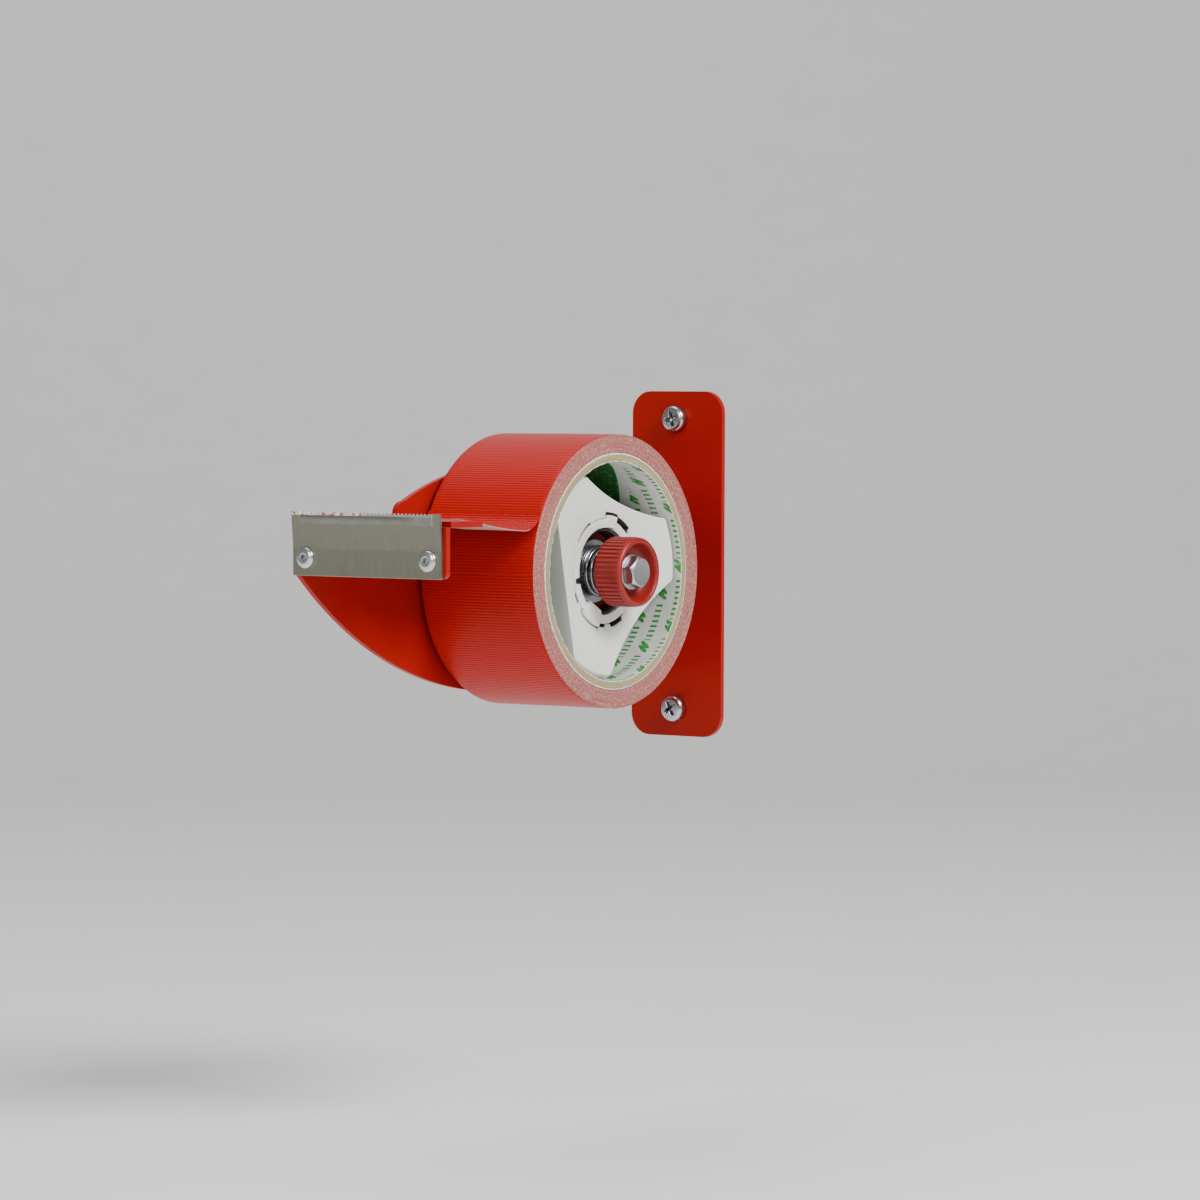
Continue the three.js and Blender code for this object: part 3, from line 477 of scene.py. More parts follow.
def gridPiece(name, points, wrapU=False, wrapV=False, uv=None, finish=None, pick=None, sharp=None):
    # a grid of points, rows along the profile and columns along the path, as one mesh of quads;
    # wrapped directions join their last line to their first, and doubled points are merged
    rows, columns = points.shape[:2]
    i = np.arange(rows if wrapU else rows - 1)[:, None]
    j = np.arange(columns if wrapV else columns - 1)[None, :]
    i2, j2 = (i + 1) % rows, (j + 1) % columns
    quads = np.stack([i * columns + j, i * columns + j2, i2 * columns + j2, i2 * columns + j], -1)
    quads = quads.reshape(-1, 4)
    mesh = bpy.data.meshes.new(name)
    mesh.from_pydata((points.reshape(-1, 3) * mm).tolist(), [], quads.tolist())
    if uv is not None:
        # uv has one more line than the points in each wrapped direction
        corner = [uv[i, j], uv[i, j + 1], uv[i + 1, j + 1], uv[i + 1, j]]
        layer = mesh.uv_layers.new(name="wrap")
        layer.data.foreach_set("uv", (np.stack(corner, 2).reshape(-1) * mm).astype(np.float32))
    if pick is not None:
        # pick gives the finish's number from a face's place along the axis and distance from it
        x, y, z = points.reshape(-1, 3)[quads].mean(1).T
        number = pick(x, np.hypot(y - axisY, z)).astype(np.int32)
        mesh.polygons.foreach_set("material_index", number)
    return pieceOf(cleaned(mesh, 1e-7), finish, sharp)


def settle(piece, body, slot, *nodes):
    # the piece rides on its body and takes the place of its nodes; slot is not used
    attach(piece, body)
    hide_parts(*nodes)
    return piece


def turned(name, path, finish, columns=96, closed=True, axis="x", centre=(axisY, 0), **more):
    # a profile of (place along the axis, radius) carried round the axis: at turn a the point stands
    # radius away from the centre, at (-cos a, sin a) across it; the profile may differ at each turn
    path = np.asarray(path, float)
    if path.ndim == 2:
        path = np.repeat(path[:, None], columns, axis=1)
    columns = path.shape[1]
    turn = np.linspace(0, 2 * math.pi, columns, endpoint=False)
    along, radius = path[..., 0], path[..., 1]
    first, second = centre[0] - radius * np.cos(turn), centre[1] + radius * np.sin(turn)
    if axis == "x":
        points = np.stack([along, first, second], -1)
    else:
        points = np.stack([first, along, second], -1)
    loop = np.concatenate([path, path[:1]]) if closed else path
    loop = np.concatenate([loop, loop[:, :1]], axis=1)
    wide = np.linspace(0, 2 * math.pi, columns + 1)[None] * path[..., 1].max()
    uv = np.stack([np.broadcast_to(wide, loop.shape[:2]), loop[..., 0]], -1)
    return gridPiece(name, points, closed, True, uv, finish, **more)


def allTurns(columns):
    # evenly spaced angles round the axis, in degrees
    return np.linspace(0, 360, columns, endpoint=False)


def profile(corners, columns):
    # corners (place along the axis, radius), each a number or a value at every turn, as one array
    lines = [[np.broadcast_to(v, columns) for v in pair] for pair in corners]
    return np.array(lines).swapaxes(1, 2)


def window(turns, low, high, soft=1.0):
    # 1 between two angles, 0 outside, with a short slope at each end
    middle, half = (low + high) / 2, (high - low) / 2
    off = np.abs((turns - middle + 180) % 360 - 180)
    return np.clip((half - off) / soft + 0.5, 0, 1)


def steps(turns, rows):
    # the sum of windows, each a height, its two angles and, if not 1, its slope
    return sum(height * window(turns, *place) for height, *place in rows)


def wave(values, seed, terms=6):
    # a smooth random line: sines of whole turns whose sizes fall with their count
    source = np.random.default_rng(seed)
    total = np.zeros_like(values, float)
    for k in range(1, terms + 1):
        total += source.normal() / k * np.sin(np.radians(values) * k * 3 + source.uniform(0, 6.28))
    return total


# Frame: the bent sheet with its cut edges rounded by the paint.
frameSizes = dict(edge=0.32, steps=3, edgeAngle=35)


def coatedSheet(node, name, sizes, finish):
    # the node's own outline, merged, with every sharp edge rounded
    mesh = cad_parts[node].data.copy()
    mesh.name = name
    mesh.materials.clear()
    piece = pieceOf(cleaned(mesh, 2e-6, math.radians(0.5)), finish)
    piece.name = name
    bevel = piece.modifiers.new("paintedEdge", "BEVEL")
    bevel.width = sizes["edge"] * mm
    bevel.segments = sizes["steps"]
    bevel.limit_method = "ANGLE"
    bevel.angle_limit = math.radians(sizes["edgeAngle"])
    bevel.use_clamp_overlap = True
    even = piece.modifiers.new("evenFaces", "WEIGHTED_NORMAL")
    even.keep_sharp = True
    return piece


plate = coatedSheet("frame_plate", "framePlate", frameSizes, finishes["paint"])
settle(plate, "frame", "frame_paint", "frame_plate")
print("frame plate made")

bladeSizes = dict(
    left=-20.0,
    right=43.7,
    low=0.3,
    high=21.9,
    bend=9.5,
    lean=5.0,  # degrees
    back=-192.6,
    thick=1.0,
    plainEnd=3.5,
    pitch=1.62,
    tooth=1.0,
    land=0.24,
    bevel=4.0,
    edge=0.35,
)


def cuttingBlade(s, finish):
    # the section in (Y, Z) carried along X; its top edge follows the saw line, and its front face
    # slopes back over the bevel between the plain ends
    count = math.floor((s["right"] - s["left"] - 2 * s["plainEnd"]) / s["pitch"])
    first = (s["left"] + s["right"] - count * s["pitch"]) / 2
    tooth = first + np.arange(count)[:, None] * s["pitch"]
    marks = np.array([0, s["land"] / 2, s["pitch"] / 2, s["pitch"] - s["land"] / 2])
    inside = (tooth + marks).ravel()
    drop = np.tile([0, 0, s["tooth"], 0], count).astype(float)
    start, end = s["left"] + s["plainEnd"], s["right"] - s["plainEnd"]
    ends = [s["left"], s["left"] + 0.25, start - 0.01, start + 0.01]
    far = [end - 0.01, end + 0.01, s["right"] - 0.25, s["right"]]
    x = np.concatenate([ends, inside, [first + count * s["pitch"]], far])
    fall = np.concatenate([[0] * 4, drop, [0] * 5])
    ground = ((x > start) & (x < end)).astype(float)
    trim = np.zeros_like(x)
    trim[[0, -1]] = 0.2
    top = s["high"] - fall - trim

    def out(z):
        return -np.maximum(z - s["bend"], 0) * math.tan(math.radians(s["lean"]))

    def front(z):
        share = np.clip((z - (s["high"] - s["bevel"])) / s["bevel"], 0, 1) * ground
        return s["back"] - s["thick"] * (1 - share) - s["edge"] * share + out(z)

    low = s["low"] + trim
    step = np.full_like(x, s["high"] - s["bevel"])
    bend = np.full_like(x, s["bend"])
    back = np.full_like(x, s["back"])
    rows = [
        (back, low),
        (back, bend - 0.4),
        (back + out(bend + 0.4), bend + 0.4),
        (s["back"] + out(top), top),
        (front(top), top),
        (front(step + 0.12), step + 0.12),
        (front(step), step),
        (front(step - 0.2), step - 0.2),
        (front(bend + 0.4), bend + 0.4),
        (front(bend - 0.4), bend - 0.4),
        (front(low + 0.2), low + 0.2),
        (back - s["thick"] + 0.12, low),
    ]
    points = np.array([np.stack([x, y, z], -1) for y, z in rows])
    middle = points.mean(0, keepdims=True)
    first, last = (np.repeat(middle[:, [k]], len(rows), 0) for k in (0, -1))
    points = np.concatenate([first, points, last], axis=1)
    return gridPiece("cuttingBlade", points, True, False, finish=finish, sharp=20)


settle(cuttingBlade(bladeSizes, finishes["steel"]), "frame", "blade_steel", "blade")

rivetSizes = dict(
    places=(-14.4, 38.1), height=6.3, under=-193.7, head=3.6, rise=1.5, edge=0.3, bore=1.3
)


def blindRivet(name, x, s, finish):
    # a domed head with the broken mandrel sunk in its hole, a shank and a bulged tail, along Y
    dome = np.radians(np.linspace(0, 78, 9))
    rim = s["bore"] + (s["head"] - s["bore"]) * np.cos(dome)
    lift = s["under"] - s["edge"] - (s["rise"] - s["edge"]) * np.sin(dome)
    head = [(a, b) for a, b in zip(lift[::-1], rim[::-1])]
    deep = s["under"] - 0.15
    stub = [(deep - 0.35, 0), (deep - 0.35, 0.45), (deep - 0.2, 0.62), (deep + 0.05, 0.68)]
    hole = [(deep + 0.35, 0.8), (deep + 0.35, 1.1), (lift[-1] + 0.12, 1.22)]
    tail = [(s["under"], 3.5), (s["under"], 2), (-190.4, 2), (-190.1, 2.8), (-188.5, 2.9)]
    end = [(-187.9, 2.3), (-187.8, 1.2), (-187.5, 1.0), (-187.4, 0)]
    path = np.array(stub + hole + head + tail + end)
    return turned(name, path, finish, 48, False, "y", (x, s["height"]), sharp=40)


for side, x in zip(("Left", "Right"), rivetSizes["places"]):
    settle(
        blindRivet("rivet" + side, x, rivetSizes, finishes["aluminium"]),
        "frame",
        "rivet_aluminium",
        "blade_rivet_" + side.lower(),
    )

screwSizes = dict(
    under=-2.1, head=4.75, rise=3.7, dome=1.7, shank=2.5, length=10, pitch=0.8, cut=0.32
)
crossSizes = dict(arm=2.75, width=0.8, deep=2.3, slope=0.5)


def wallScrew(name, z, turnBy, s, cross, finish):
    # a pan head whose top sinks by the cross recess, and a shank whose radius falls along a helix
    columns = 160
    turns = allTurns(columns)
    top = s["under"] - s["rise"]
    r = np.concatenate([np.linspace(0, 2.9, 26), [3.2, 3.5]])[:, None]
    a = np.radians(turns + turnBy)[None]
    u, v = np.abs(r * np.cos(a)), np.abs(r * np.sin(a))
    bar = np.maximum(
        np.minimum(cross["arm"] - u, cross["width"] - v),
        np.minimum(cross["arm"] - v, cross["width"] - u),
    )
    sink = cross["deep"] * np.clip(bar / cross["slope"], 0, 1)
    face = top + 0.05 * r**2 / 4 + sink
    head = np.stack([face, np.broadcast_to(r, face.shape)], -1)
    bend = np.radians(np.linspace(35, 90, 6))
    edgeX = top + 0.15 + s["dome"] * (1 - np.cos(bend))
    edgeR = s["head"] - s["dome"] * 0.75 * (1 - np.sin(bend))
    side = list(zip(edgeX, edgeR))
    side += [(s["under"] - 0.12, s["head"]), (s["under"], s["head"] - 0.12), (s["under"], 2.6)]
    x = np.linspace(s["under"] + 0.3, s["under"] + s["length"] - 0.6, 72)[:, None]
    phase = (x / s["pitch"] - turns[None] / 360) % 1
    radius = s["shank"] - s["cut"] * np.abs(2 * phase - 1)
    thread = np.stack([np.broadcast_to(x, radius.shape), radius], -1)
    tip = s["under"] + s["length"]
    end = profile([(tip - 0.1, 1.9), (tip, 1.6), (tip, 0)], columns)
    path = np.concatenate([head, profile(side, columns), thread, end])
    return turned(name, path, finish, columns, False, "y", (0, z), sharp=50)


for name, z, turnBy, node in (
    ("screwTop", 52.5, 12, "wall_screw_top"),
    ("screwBottom", -52.5, 28, "wall_screw_bottom"),
):
    screw = wallScrew(name, z, turnBy, screwSizes, crossSizes, finishes["zinc"])
    settle(screw, "frame", "zinc_plate", node)
print("blade, rivets and screws made")

rollSizes = dict(left=-16.0, right=33.0, radius=47.7, inner=41.3, layers=46, waver=0.09)


def woundRoll(s, finish):
    # a thick ring; its two sides waver in and out with the radius, as tape edges do, and its
    # outside is a very slightly uneven drum
    columns = 360
    turns = allTurns(columns)
    rings = np.linspace(s["inner"] + 0.05, s["radius"] - 0.12, s["layers"])[:, None]
    source = np.random.default_rng(5)
    step = source.normal(0, 1, s["layers"])[:, None] * s["waver"] * 0.5
    slow = wave(turns[None] + rings * 23, 8, 4) * s["waver"] * 0.35
    right = s["right"] - 0.1 + np.clip(step + slow, -0.3, 0.08)
    left = s["left"] + 0.1 - np.clip(step[::-1] + slow, -0.3, 0.08)
    x = np.linspace(s["right"] - 0.25, s["left"] + 0.25, 30)[:, None]
    drum = s["radius"] - 0.06 + wave(turns[None] + x * 2, 3, 3) * 0.02
    parts = [
        np.stack([right, np.broadcast_to(rings, right.shape)], -1),
        np.stack([np.broadcast_to(x, drum.shape), drum], -1),
        np.stack([left, np.broadcast_to(rings, left.shape)], -1)[::-1],
    ]
    path = np.concatenate(parts)

    def pick(along, far):
        return far < s["radius"] - 0.115

    return turned("tapeRoll", path, finish, columns, pick=pick, sharp=40)


roll = woundRoll(rollSizes, [finishes["tape"], finishes["side"]])
settle(roll, "roll", "tape_cloth", "tape_roll")

coreSizes = dict(left=-16.0, right=33.0, radius=41.2, bore=38.05, ragged=0.4)


def paperCore(s, finish):
    # a board tube whose cut ends are slightly ragged at the bore
    columns = 360
    turns = allTurns(columns)
    rough = np.abs(wave(turns * 5, 11, 9)) * s["ragged"]
    rim = np.clip(rough, 0, 0.6)
    corners = [
        (s["right"] - 0.5, s["bore"]),
        (s["right"] - 0.12 - rim * 0.5, s["bore"] + rim * 0.35 + 0.02),
        (s["right"] - 0.1, s["bore"] + 0.5 + rim * 0.6),
        (s["right"] - 0.05, s["radius"] - 0.9),
        (s["right"] - 0.12, s["radius"] - 0.1),
        (s["right"] - 0.3, s["radius"]),
        (s["left"] + 0.3, s["radius"]),
        (s["left"] + 0.05, s["radius"] - 0.3),
        (s["left"] + 0.1 + rim * 0.5, s["bore"] + 0.4 + rim * 0.4),
        (s["left"] + 0.5 + rim * 0.3, s["bore"]),
    ]
    x = np.linspace(s["left"] + 4, s["right"] - 4, 6)
    corners += [(v, s["bore"] + 0.03 * wave(turns + v * 9, 4, 3)) for v in x]
    path = profile(corners, columns)

    def pick(along, far):
        return far < s["bore"] + 0.16

    return turned("tapeCore", path, finish, columns, pick=pick, sharp=60)


core = paperCore(coreSizes, [finishes["board"], finishes["liner"]])
settle(core, "roll", "core_board", "tape_core")

hubSizes = dict(
    back=-16.1, lipBack=-17.4, lip=42.0, front=30.8, ringFront=28.1, ringEdge=18.3, round=0.45,
    full=37.9, arm=36.4, armSpan=35.0, armTurn=48.3, scoop=2.34, wall=1.8, floor=2.0,
    # the last two sizes on the next line bound the painted shade deep in the gap round the ring
    leadIn=6.0, bore=18.45, blend=0.22, shadeOut=20.9, shadeBack=10,
    # mouth round the ring, each a depth and its two angles
    recesses=((2.1, 88, 110), (1.5, 110, 133), (1.35, 240, 262)),
    slits=((1.05, 33, 62), (1.05, 326, 338), (1.05, 271, 285)),
    bite=((1.95, 283, 318),),
)


def hubOutline(turns, cap, s, inset=0.0):
    # the smaller of a plain radius and the scooped side's arc, with their corner softened; the
    # arc's near crossing is D cos d - sqrt(r^2 - D^2 sin^2 d), d being the angle off its middle
    half = math.radians((120 - s["armSpan"]) / 2)
    across = s["arm"] * math.sin(half)
    radius = (across**2 + s["scoop"] ** 2) / (2 * s["scoop"])
    distance = s["arm"] * math.cos(half) - s["scoop"] + radius
    off = np.radians((turns - s["armTurn"]) % 120 - 60)
    radius = radius + inset
    under = np.maximum(radius**2 - (distance * np.sin(off)) ** 2, 0)
    arc = np.where(under > 0, distance * np.cos(off) - np.sqrt(under), 90)
    lowest = np.minimum(cap, arc)
    soft = s["blend"]
    return lowest - soft * np.log(np.exp(-(cap - lowest) / soft) + np.exp(-(arc - lowest) / soft))


def hubFace(r, s):
    # the dished face's height: a straight slope from the ring's edge up to the arms' ends
    share = (r - s["ringEdge"]) / (s["arm"] - s["round"] - s["ringEdge"])
    return s["ringFront"] + share * (s["front"] - s["ringFront"])


def hubShell(s, finish):
    # the section at each turn: bore, face, scooped side, lip and hollow back; the mouth round the
    # ring widens at its recesses and slits
    columns = 720
    turns = allTurns(columns)
    wider = np.maximum(steps(turns, s["recesses"]), steps(turns, s["slits"]))
    mouth = s["bore"] + wider + steps(turns, s["bite"])
    rim = hubOutline(turns, s["arm"] - s["round"], s)
    shoulder = hubOutline(turns, s["arm"] + s["round"], s)
    side = hubOutline(turns, s["full"], s)
    inner = hubOutline(turns, s["full"] - s["wall"], s, s["wall"])
    innerTop = hubOutline(turns, s["arm"] - s["wall"], s, s["wall"])
    sleeve = s["bore"] + s["wall"]
    middle = (mouth + rim) / 2
    corners = [
        (s["lipBack"], s["bore"]),
        (s["ringFront"] - 9.1, s["bore"]),
        (s["ringFront"] - 9.0, np.maximum(mouth, s["bore"] + 0.06)),
        (hubFace(mouth, s), np.maximum(mouth, s["bore"] + 0.06)),
        (hubFace(middle, s), middle),
        (hubFace(rim, s), rim),
        (hubFace(rim, s) - 2 * s["round"], shoulder),
        (s["front"] - s["leadIn"], side),
        (s["back"], side),
        (s["back"], s["lip"]),
        (s["lipBack"], s["lip"]),
        (s["lipBack"], inner),
        (s["front"] - s["leadIn"] - s["floor"], inner),
        (hubFace(innerTop, s) - s["floor"], innerTop),
        (s["ringFront"] - s["floor"], sleeve),
        (s["lipBack"], sleeve),
    ]
    path = profile(corners, columns)
    edges = [0.3, 0.2, 0.1, 0.22, 0, 0.45, 0.5, 1.5, 0.3, 0.3, 0.3, 0.3, 0.8, 0.8, 0.5, 0.3]

    def pick(along, far):
        # painted shade: the deep walls of the gap round the ring take the dark grey finish, where
        # shade falls
        return (far < s["shadeOut"]) & (along < s["ringFront"] - 0.7) & (along > s["shadeBack"])

    path = softCorners(path, edges, 3, True)
    return turned("hubBody", path, finish, columns, pick=pick, sharp=45)


settle(hubShell(hubSizes, [finishes["hub"], finishes["gapShade"]]), "roll", "hub_plastic", "hub_body")


def raisedBars(name, bars, lift, finish):
    # each bar is a low pillow of height (1 - u^6)(1 - v^6) on the dished face, over a flat base
    # sunk in the plastic; a wall joins the two layers round their edge
    rows, columns = 9, 7
    size = rows * columns
    u, v = np.meshgrid(np.linspace(-1, 1, rows), np.linspace(-1, 1, columns), indexing="ij")
    crown = (1 - u**6) * (1 - v**6)
    place = np.arange(size).reshape(rows, columns)
    quads = [place[:-1, :-1], place[:-1, 1:], place[1:, 1:], place[1:, :-1]]
    quads = np.stack(quads, -1).reshape(-1, 4)
    edge = [place[0, :-1], place[:-1, -1], place[-1, :0:-1], place[:0:-1, 0]]
    edge = np.concatenate(edge)
    after = np.roll(edge, -1)
    wall = np.stack([edge, after, after + size, edge + size], -1)
    block = np.concatenate([quads, quads + size, wall])
    faces, points = [], []
    for k, (far, turn, halfOut, halfRound) in enumerate(bars):
        r, w, a = far + u * halfOut, v * halfRound, math.radians(turn)
        y = axisY - (r * math.cos(a) - w * math.sin(a))
        z = r * math.sin(a) + w * math.cos(a)
        x = hubFace(np.hypot(r, w), hubSizes) - 0.12 + (0.12 + lift) * crown
        for height in (x, np.full_like(x, x.min() - 0.05)):
            points.append(np.stack([height, y, z], -1).reshape(-1, 3))
        faces.append(block + 2 * size * k)
    mesh = bpy.data.meshes.new(name)
    mesh.from_pydata((np.concatenate(points) * mm).tolist(), [], np.concatenate(faces).tolist())
    return pieceOf(cleaned(mesh), finish, 50)


# Plain moulded marks on the three arms: a short radial bar with a shorter one across its outer end.
markSizes = dict(lift=0.3, bars=((25.6, 1.9, 0.28), (29.4, 0.26, 1.7)))  # radius, half sizes
markBars = [
    (far, hubSizes["armTurn"] + 120 * k, halfOut, halfRound)
    for k in range(3)
    for far, halfOut, halfRound in markSizes["bars"]
]
marks = raisedBars("hubMarks", markBars, markSizes["lift"], finishes["hub"])
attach(marks, "roll")

ringSizes = dict(
    front=28.1, back=2.1, radius=18.3, bore=15.15, lug=19.85, lugDeep=1.1, tab=1.45,
    # what changes round it, each a height, its two angles and its slope
    lugs=((0.8, 90, 109, 0.8), (1, 285, 315, 0.8)),
    notches=((2.3, 345, 353, 0.6), (1.8, 105, 112, 0.6)),
    proud=((1.1, 284, 316, 2), (0.5, 88, 109, 2), (-0.9, 110, 135, 1), (-0.5, 236, 262, 3)),
    chamfer=((0.35, 20, 80, 10),),
)


def bayonetRing(s, finish):
    # a tube whose front edge changes with the turn: two lugs stand out, two notches cut in, and a
    # wide tab bulges into the bore
    columns = 720
    turns = allTurns(columns)
    out = s["radius"] + (s["lug"] - s["radius"]) * steps(turns, s["lugs"])
    tab = window(turns, 286, 314, 2.0) * (1 - ((turns - 300) / 16) ** 2 * 0.35)
    mouth = s["bore"] - s["tab"] * np.clip(tab, 0, 1) + steps(turns, s["notches"])
    front = s["front"] + 0.1 + steps(turns, s["proud"])
    chamfer = steps(turns, s["chamfer"])
    corners = [
        (s["back"], s["bore"]),
        (s["front"] - 4.6, s["bore"]),
        (s["front"] - 4.4, mouth),
        (front - chamfer, mouth),
        (front, out - 0.05),
        (s["front"] - s["lugDeep"], out),
        (s["front"] - s["lugDeep"] - 0.05, s["radius"]),
        (s["back"], s["radius"]),
    ]
    path = profile(corners, columns)
    edges = [0.2, 0, 0.1, 0.22, 0.25, 0.15, 0, 0.2]

    def pick(along, far):
        # painted shade: the ring's outer wall, deep in the gap, takes the dark grey finish
        return (far > s["radius"] - 0.3) & (along < s["front"] - 0.9)

    path = softCorners(path, edges, 3, True)
    return turned("hubRing", path, finish, columns, pick=pick, sharp=45)


ring = bayonetRing(ringSizes, [finishes["hub"], finishes["gapShade"]])
settle(ring, "roll", "hub_plastic", "hub_ring")
print("roll, core and hub made")


def plainTurned(name, corners, radius, finish, columns):
    # a section with softened corners, carried round
    path = softCorners(profile(corners, columns), radius, 3, True)
    return turned(name, path, finish, columns, sharp=50)


# Bush: a thin sleeve, a web with the disc's seat and a long boss on the axle.
bushSizes = dict(
    back=-16.2, webBack=18.1, pocket=-15.2, front=26.7, webFront=20.5, bore=5.15, boss=8.0,
    inner=14.1, outer=15.05, edge=0.25,
)


def hubBush(s, finish):
    # a tube within a tube, joined by a web near the front, as one closed section carried round
    corners = [
        (s["back"], s["bore"]),
        (s["back"], s["boss"]),
        (s["webBack"], s["boss"]),
        (s["webBack"], s["inner"]),
        (s["pocket"], s["inner"]),
        (s["pocket"], s["outer"]),
        (s["front"], s["outer"]),
        (s["front"], s["inner"]),
        (s["webFront"], s["inner"]),
        (s["webFront"], s["bore"]),
    ]
    return plainTurned("hubBush", corners, s["edge"], finish, 192)


settle(hubBush(bushSizes, finishes["bush"]), "roll", "bush_plastic", "hub_bush")

# Flat rings: the ends along the axis, bore, radius, rounding, and how many points go round.
discSizes = dict(ends=(20.6, 21.8), bore=5.15, radius=13.8, edge=0.12, columns=128)
washerSizes = dict(ends=(21.9, 23.4), bore=5.15, radius=11.1, edge=0.3, columns=128)
seatSizes = dict(ends=(34.0, 34.8), bore=7.15, radius=9.1, edge=0.15, columns=96)
boltRingSizes = dict(ends=(38.1, 39.6), bore=3.3, radius=6.2, edge=0.3, columns=96)
nutRingSizes = dict(ends=(-21.7, -20.1), bore=4.3, radius=8.0, edge=0.25, columns=96)
for name, s, finish, body, slot, node in (
    ("frictionDisc", discSizes, "fibre", "roll", "fibre", "friction_disc"),
    ("brakeWasher", washerSizes, "zinc", "frame", "zinc_plate", "brake_washer"),
    ("springSeat", seatSizes, "zinc", "brake_seat", "zinc_plate", "spring_seat"),
    ("boltWasher", boltRingSizes, "bolt", "frame", "zinc_plate", "bolt_washer"),
    ("axleWasher", nutRingSizes, "zinc", "frame", "zinc_plate", "axle_washer"),
):
    (back, front), bore, radius = s["ends"], s["bore"], s["radius"]
    corners = [(back, bore), (back, radius), (front, radius), (front, bore)]
    flat = plainTurned(name, corners, s["edge"], finishes[finish], s["columns"])
    settle(flat, body, slot, node)

springSizes = dict(start=23.5, end=33.9, radius=9.0, wire=1.5, turns=4.5, closed=1.04)


def coilSpring(s, finish):
    # wire of radius w round a helix: centre (x(t), R at angle t), ring w(cos p outward + sin p
    # along X); the first and last turns lie closed, and the wire's ends close to a point
    w = s["wire"] / 2
    count = int(s["turns"] * 48)
    t = np.linspace(0, s["turns"], count + 1)
    gap = s["closed"] * s["wire"]
    room = s["end"] - s["start"] - s["wire"] - 2 * gap
    ramps = np.clip(t, 0, 1) + np.clip(t - s["turns"] + 1, 0, 1)
    x = s["start"] + w + gap * ramps + room * np.clip((t - 1) / (s["turns"] - 2), 0, 1)
    size = np.full_like(t, w)
    t, x = np.r_[t[0], t, t[-1]], np.r_[x[0], x, x[-1]]
    size = np.r_[0, size, 0]
    p = np.linspace(0, 2 * math.pi, 14, endpoint=False)[:, None]
    radius = s["radius"] - w + size * np.cos(p)
    turn = t * 2 * math.pi
    points = np.stack(
        [x + size * np.sin(p), axisY - radius * np.cos(turn), radius * np.sin(turn)], -1
    )
    return gridPiece("brakeSpring", points, True, False, finish=finish, sharp=60)


spring = settle(coilSpring(springSizes, finishes["wire"]), "frame", "spring_steel", "brake_spring")
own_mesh(spring)

knobSizes = dict(
    front=43.0, back=31.7, radius=12.15, ribs=44, ribDeep=0.52, rim=1.3, recess=9.5,
    floorRadius=8.3, floor=37.9, bore=5.15, sleeve=6.85, sleeveBack=28.5, pocket=9.3,
    pocketFloor=34.9,
)


def ribbedKnob(s, finish):
    # a cup's profile carried round; on the grip the radius falls between the ribs as a rounded
    # square wave, which fades out towards both rounded ends
    columns = s["ribs"] * 14
    turns = allTurns(columns)
    phase = (turns * s["ribs"] / 360) % 1
    groove = np.clip(2.6 * np.cos(2 * np.pi * phase) - 0.6, -1, 1) * 0.5 + 0.5
    grip = s["radius"] - s["ribDeep"] * groove
    smooth = s["radius"] - 0.1
    rimTurn = np.radians(np.linspace(20, 90, 6))
    corners = [
        (s["sleeveBack"], s["bore"]),
        (s["sleeveBack"], s["sleeve"]),
        (s["pocketFloor"], s["sleeve"]),
        (s["pocketFloor"], s["pocket"]),
        (s["back"], s["pocket"]),
        (s["back"], s["radius"] - 0.6),
        (s["back"] + 0.35, grip - 0.12),
        (s["back"] + 0.9, grip),
        (s["front"] - s["rim"] - 0.9, grip),
        (s["front"] - s["rim"] - 0.25, (grip + smooth * 2) / 3 - 0.05),
    ]
    for a in rimTurn:
        x = s["front"] - s["rim"] + s["rim"] * math.sin(a)
        corners.append((x, (s["radius"] - 0.1 - s["rim"] + s["rim"] * math.cos(a))))
    corners += [
        (s["front"] - 0.02, s["recess"] + 0.95),
        (s["front"] - 0.35, s["recess"] + 0.6),
        (s["front"] - 1.4, s["recess"] + 0.25),
        (s["floor"] + 1.3, s["floorRadius"] + 0.7),
        (s["floor"] + 0.25, s["floorRadius"] - 0.35),
        (s["floor"], s["floorRadius"] - 1.3),
        (s["floor"], s["bore"]),
    ]
    path = profile(corners, columns)
    return turned("brakeKnob", path, finish, columns, sharp=50)


settle(ribbedKnob(knobSizes, finishes["knob"]), "knob", "knob_plastic", "brake_knob")

hexSizes = dict(back=39.7, front=43.7, flat=5.0, turn=17.0, shank=3.0, end=21.7)


def sixSided(turns, flat, corner):
    # distance to a hexagon's side: flat / cos(angle off the side's middle)
    return flat / np.cos(np.radians((turns - corner) % 60 - 30))


def hexBolt(s, finish):
    # a hexagon head whose corners are cut by a cone, on a plain round shank
    columns = 360
    turns = allTurns(columns)
    side = sixSided(turns, s["flat"], s["turn"])
    land = s["flat"] - 0.3
    lower = s["front"] - 0.06 - (side - land) * 0.95
    corners = [
        (s["front"] - 0.12, 0),
        (s["front"] - 0.1, 2.6),
        (s["front"] - 0.02, land - 0.4),
        (s["front"], land),
        (lower, side),
        (s["back"] + 0.12, side),
        (s["back"], s["flat"] - 0.15),
        (s["back"], s["shank"]),
        (s["end"] + 0.5, s["shank"]),
        (s["end"], s["shank"] - 0.5),
        (s["end"], 0),
    ]
    path = profile(corners, columns)
    edges = [0, 0.3, 0.2, 0.02, 0.04, 0.1, 0.1, 0.1, 0.1, 0.1, 0]
    return turned("knobBolt", softCorners(path, edges, 2), finish, columns, False, sharp=24)


settle(hexBolt(hexSizes, finishes["bolt"]), "frame", "zinc_plate", "knob_bolt")

nutSizes = dict(outer=-25.8, inner=-21.8, flat=6.5, turn=10.0, bore=4.3)


